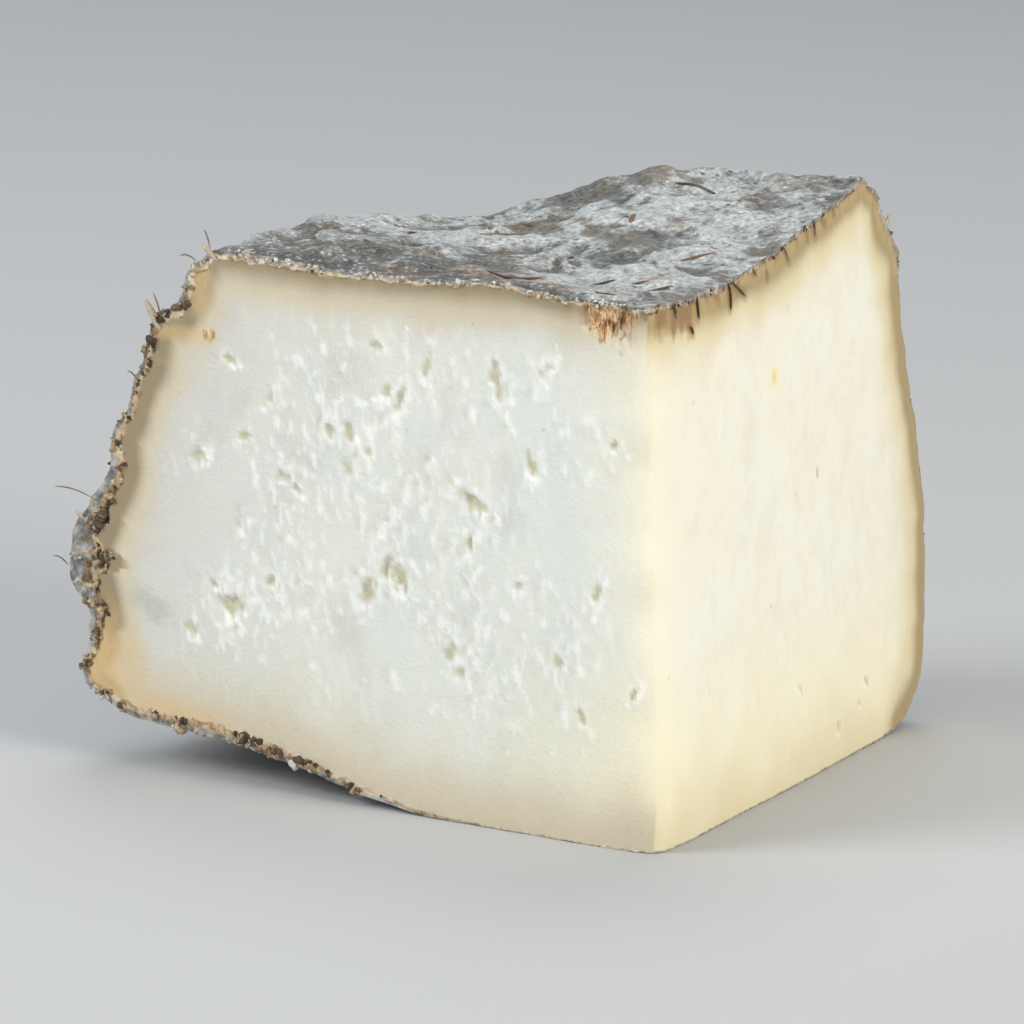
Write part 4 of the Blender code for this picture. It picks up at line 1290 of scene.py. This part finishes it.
def makeFibres(material):
    tubes, rng = Tubes(), random.Random(91)
    for i in range(fibres["sideCount"]):
        path = sidePath(rng, (1.5 * mm, 7 * mm))
        lift = rng.uniform(0.05, 0.6) * mm
        path = [p + Vector((p.x, p.y, 0)).normalized() * lift * (k / 4) ** 1.5 for k, p in enumerate(path)]
        tubes.add(path, rng.uniform(*fibres["radius"]), rng.uniform(0.1, 1.0), 4, 10, taper=0.8)
    for i in range(fibres["topCount"]):
        along, behind, turn = rng.uniform(3, 52), rng.uniform(3, 52), rng.uniform(0, math.tau)
        if math.hypot(along, behind) > 56:
            continue
        ends = topEnds(along, behind, rng.uniform(0.8, 2.6), turn)
        if min(*ends[0], *ends[1]) < 1:
            continue
        path = topPath(*ends, rng.uniform(-0.6, 0.6))
        tubes.add(path, rng.uniform(*fibres["radius"]), rng.uniform(0.1, 1.0), 4, 8, taper=0.8)
    for start, end, forward in fibres["edge"]:
        first, last = (leftWay * along * mm + upWay * up * mm for along, up in (start, end))
        path = [first.lerp(last, t) - rightWay * forward * mm * t + upWay * 0.35 * mm * math.sin(3 * t)
                for t in (0, 0.33, 0.67, 1)]
        tubes.add(path, 0.09 * mm, 0.75, 5, 12, taper=0.7)
    return tubes.piece("mouldFibres", material)


# Floor, light and camera

studio = {
    "floorColour": (0.52, 0.525, 0.53),
    "world": ((0.95, 0.97, 1.0), 0.36),
    "lightsAt": Vector((0, 0, 0.03)),
    # azimuth and elevation from that point, distance, size, power and colour of each softbox
    "softboxes": {
        "coolLeft": (-84, 30, 0.9, 0.42, 5.35, (0.945, 0.965, 0.98)),
        "warmRight": (34, 22, 0.9, 0.45, 5.35, (1.0, 0.965, 0.88)),
        "overhead": (160, 62, 1.0, 0.6, 3.2, (0.92, 0.96, 1.0)),
    },
    "cameraAt": (-0.2488, -0.6698, 0.1854),
    "lookAt": (-0.0138, -0.0277, 0.0355),
    "roll": 3.0,
    "lens": 227.4,
}


def makeFloor():
    corners = [(x, y, 0) for x, y in ((-4, -4), (4, -4), (4, 4), (-4, 4))]
    floor = newMesh("floor", corners, [(0, 1, 2, 3)], smooth=False)
    material, shader, place = newMaterial("paleFloor")
    tone = (place.grain(60.0, 1.0, 0.5) - 0.5) * 0.03
    base = studio["floorColour"]
    connect(shader, "Base Color", (0.5 + tone).mix([c * 0.98 for c in base], [c * 1.02 for c in base]))
    shader.inputs["Roughness"].default_value = 0.8
    floor.data.materials.append(material)
    floor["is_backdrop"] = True


def placeThing(name, data, place, way, axis, roll=0.0):
    # puts a light or a camera in the scene with its own axis turned the given way
    thing = bpy.data.objects.new(name, data)
    bpy.context.scene.collection.objects.link(thing)
    thing.location = place
    thing.rotation_mode = "QUATERNION"
    rolled = Matrix.Rotation(math.radians(roll), 3, "Z").to_quaternion()
    thing.rotation_quaternion = way.to_track_quat(axis, "Y") @ rolled
    return thing


def makeLights():
    world = bpy.data.worlds.new("studio")
    world.use_nodes = True
    colour, strength = studio["world"]
    background = world.node_tree.nodes["Background"]
    background.inputs["Color"].default_value = (*colour, 1.0)
    background.inputs["Strength"].default_value = strength
    bpy.context.scene.world = world
    for name, (azimuth, elevation, distance, size, power, colour) in studio["softboxes"].items():
        a, e = math.radians(azimuth), math.radians(elevation)
        way = Vector((math.sin(a) * math.cos(e), -math.cos(a) * math.cos(e), math.sin(e)))
        light = bpy.data.lights.new(name, "AREA")
        light.shape, light.size, light.energy, light.color = "DISK", size, power, colour
        placeThing(name, light, studio["lightsAt"] + way * distance, way, "Z")


def makeCamera():
    place = Vector(studio["cameraAt"])
    ahead = Vector(studio["lookAt"]) - place
    camera = placeThing("camera", bpy.data.cameras.new("camera"), place, ahead, "-Z", studio["roll"])
    camera.data.lens, camera.data.sensor_width = studio["lens"], 36
    camera.data.clip_start, camera.data.clip_end = 0.02, 20
    bpy.context.scene.camera = camera
    bpy.context.scene.view_settings.view_transform = "Standard"


def main():
    rind, leftPaste, rightPaste = makeRind(), makePaste("left"), makePaste("right")
    wedge = makeWheelPart()
    wedge.data.materials.append(rind)
    print("wheel turned:", len(wedge.data.polygons), "faces")
    cutAway(wedge, makeKnife("leftKnife", leftCut, leftPaste))
    cutAway(wedge, makeKnife("rightKnife", rightCut, rightPaste))
    print("wedge cut:", len(wedge.data.polygons), "faces,", [m.name for m in wedge.data.materials])
    rims, stems = paintWedge(wedge.data)
    wedge.data.shade_smooth()
    wedge.data.set_sharp_from_angle(angle=math.radians(62))
    print("wedge painted")
    crumbPiece = makeCrumbs(rims, makeCrumbMaterial())
    needleMaterial = makeNeedleMaterial()
    needlePiece = makeNeedles(needleMaterial, stems)
    fibrePiece = makeFibres(needleMaterial)
    added = (needlePiece, fibrePiece, crumbPiece)
    print("needles, fibres and crumbs:", *(len(piece.data.polygons) for piece in added), "faces")
    for piece in (wedge, crumbPiece, needlePiece, fibrePiece):
        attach(piece, "root")
    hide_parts("sheep_cheese_wedge")
    makeFloor()
    makeLights()
    makeCamera()
    low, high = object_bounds()
    sizes = ([round((b - a) / mm, 1) for a, b in zip(*box)] for box in ((low, high), (cadLow, cadHigh)))
    print("size:", next(sizes), "mm; CAD:", next(sizes), "mm")


main()
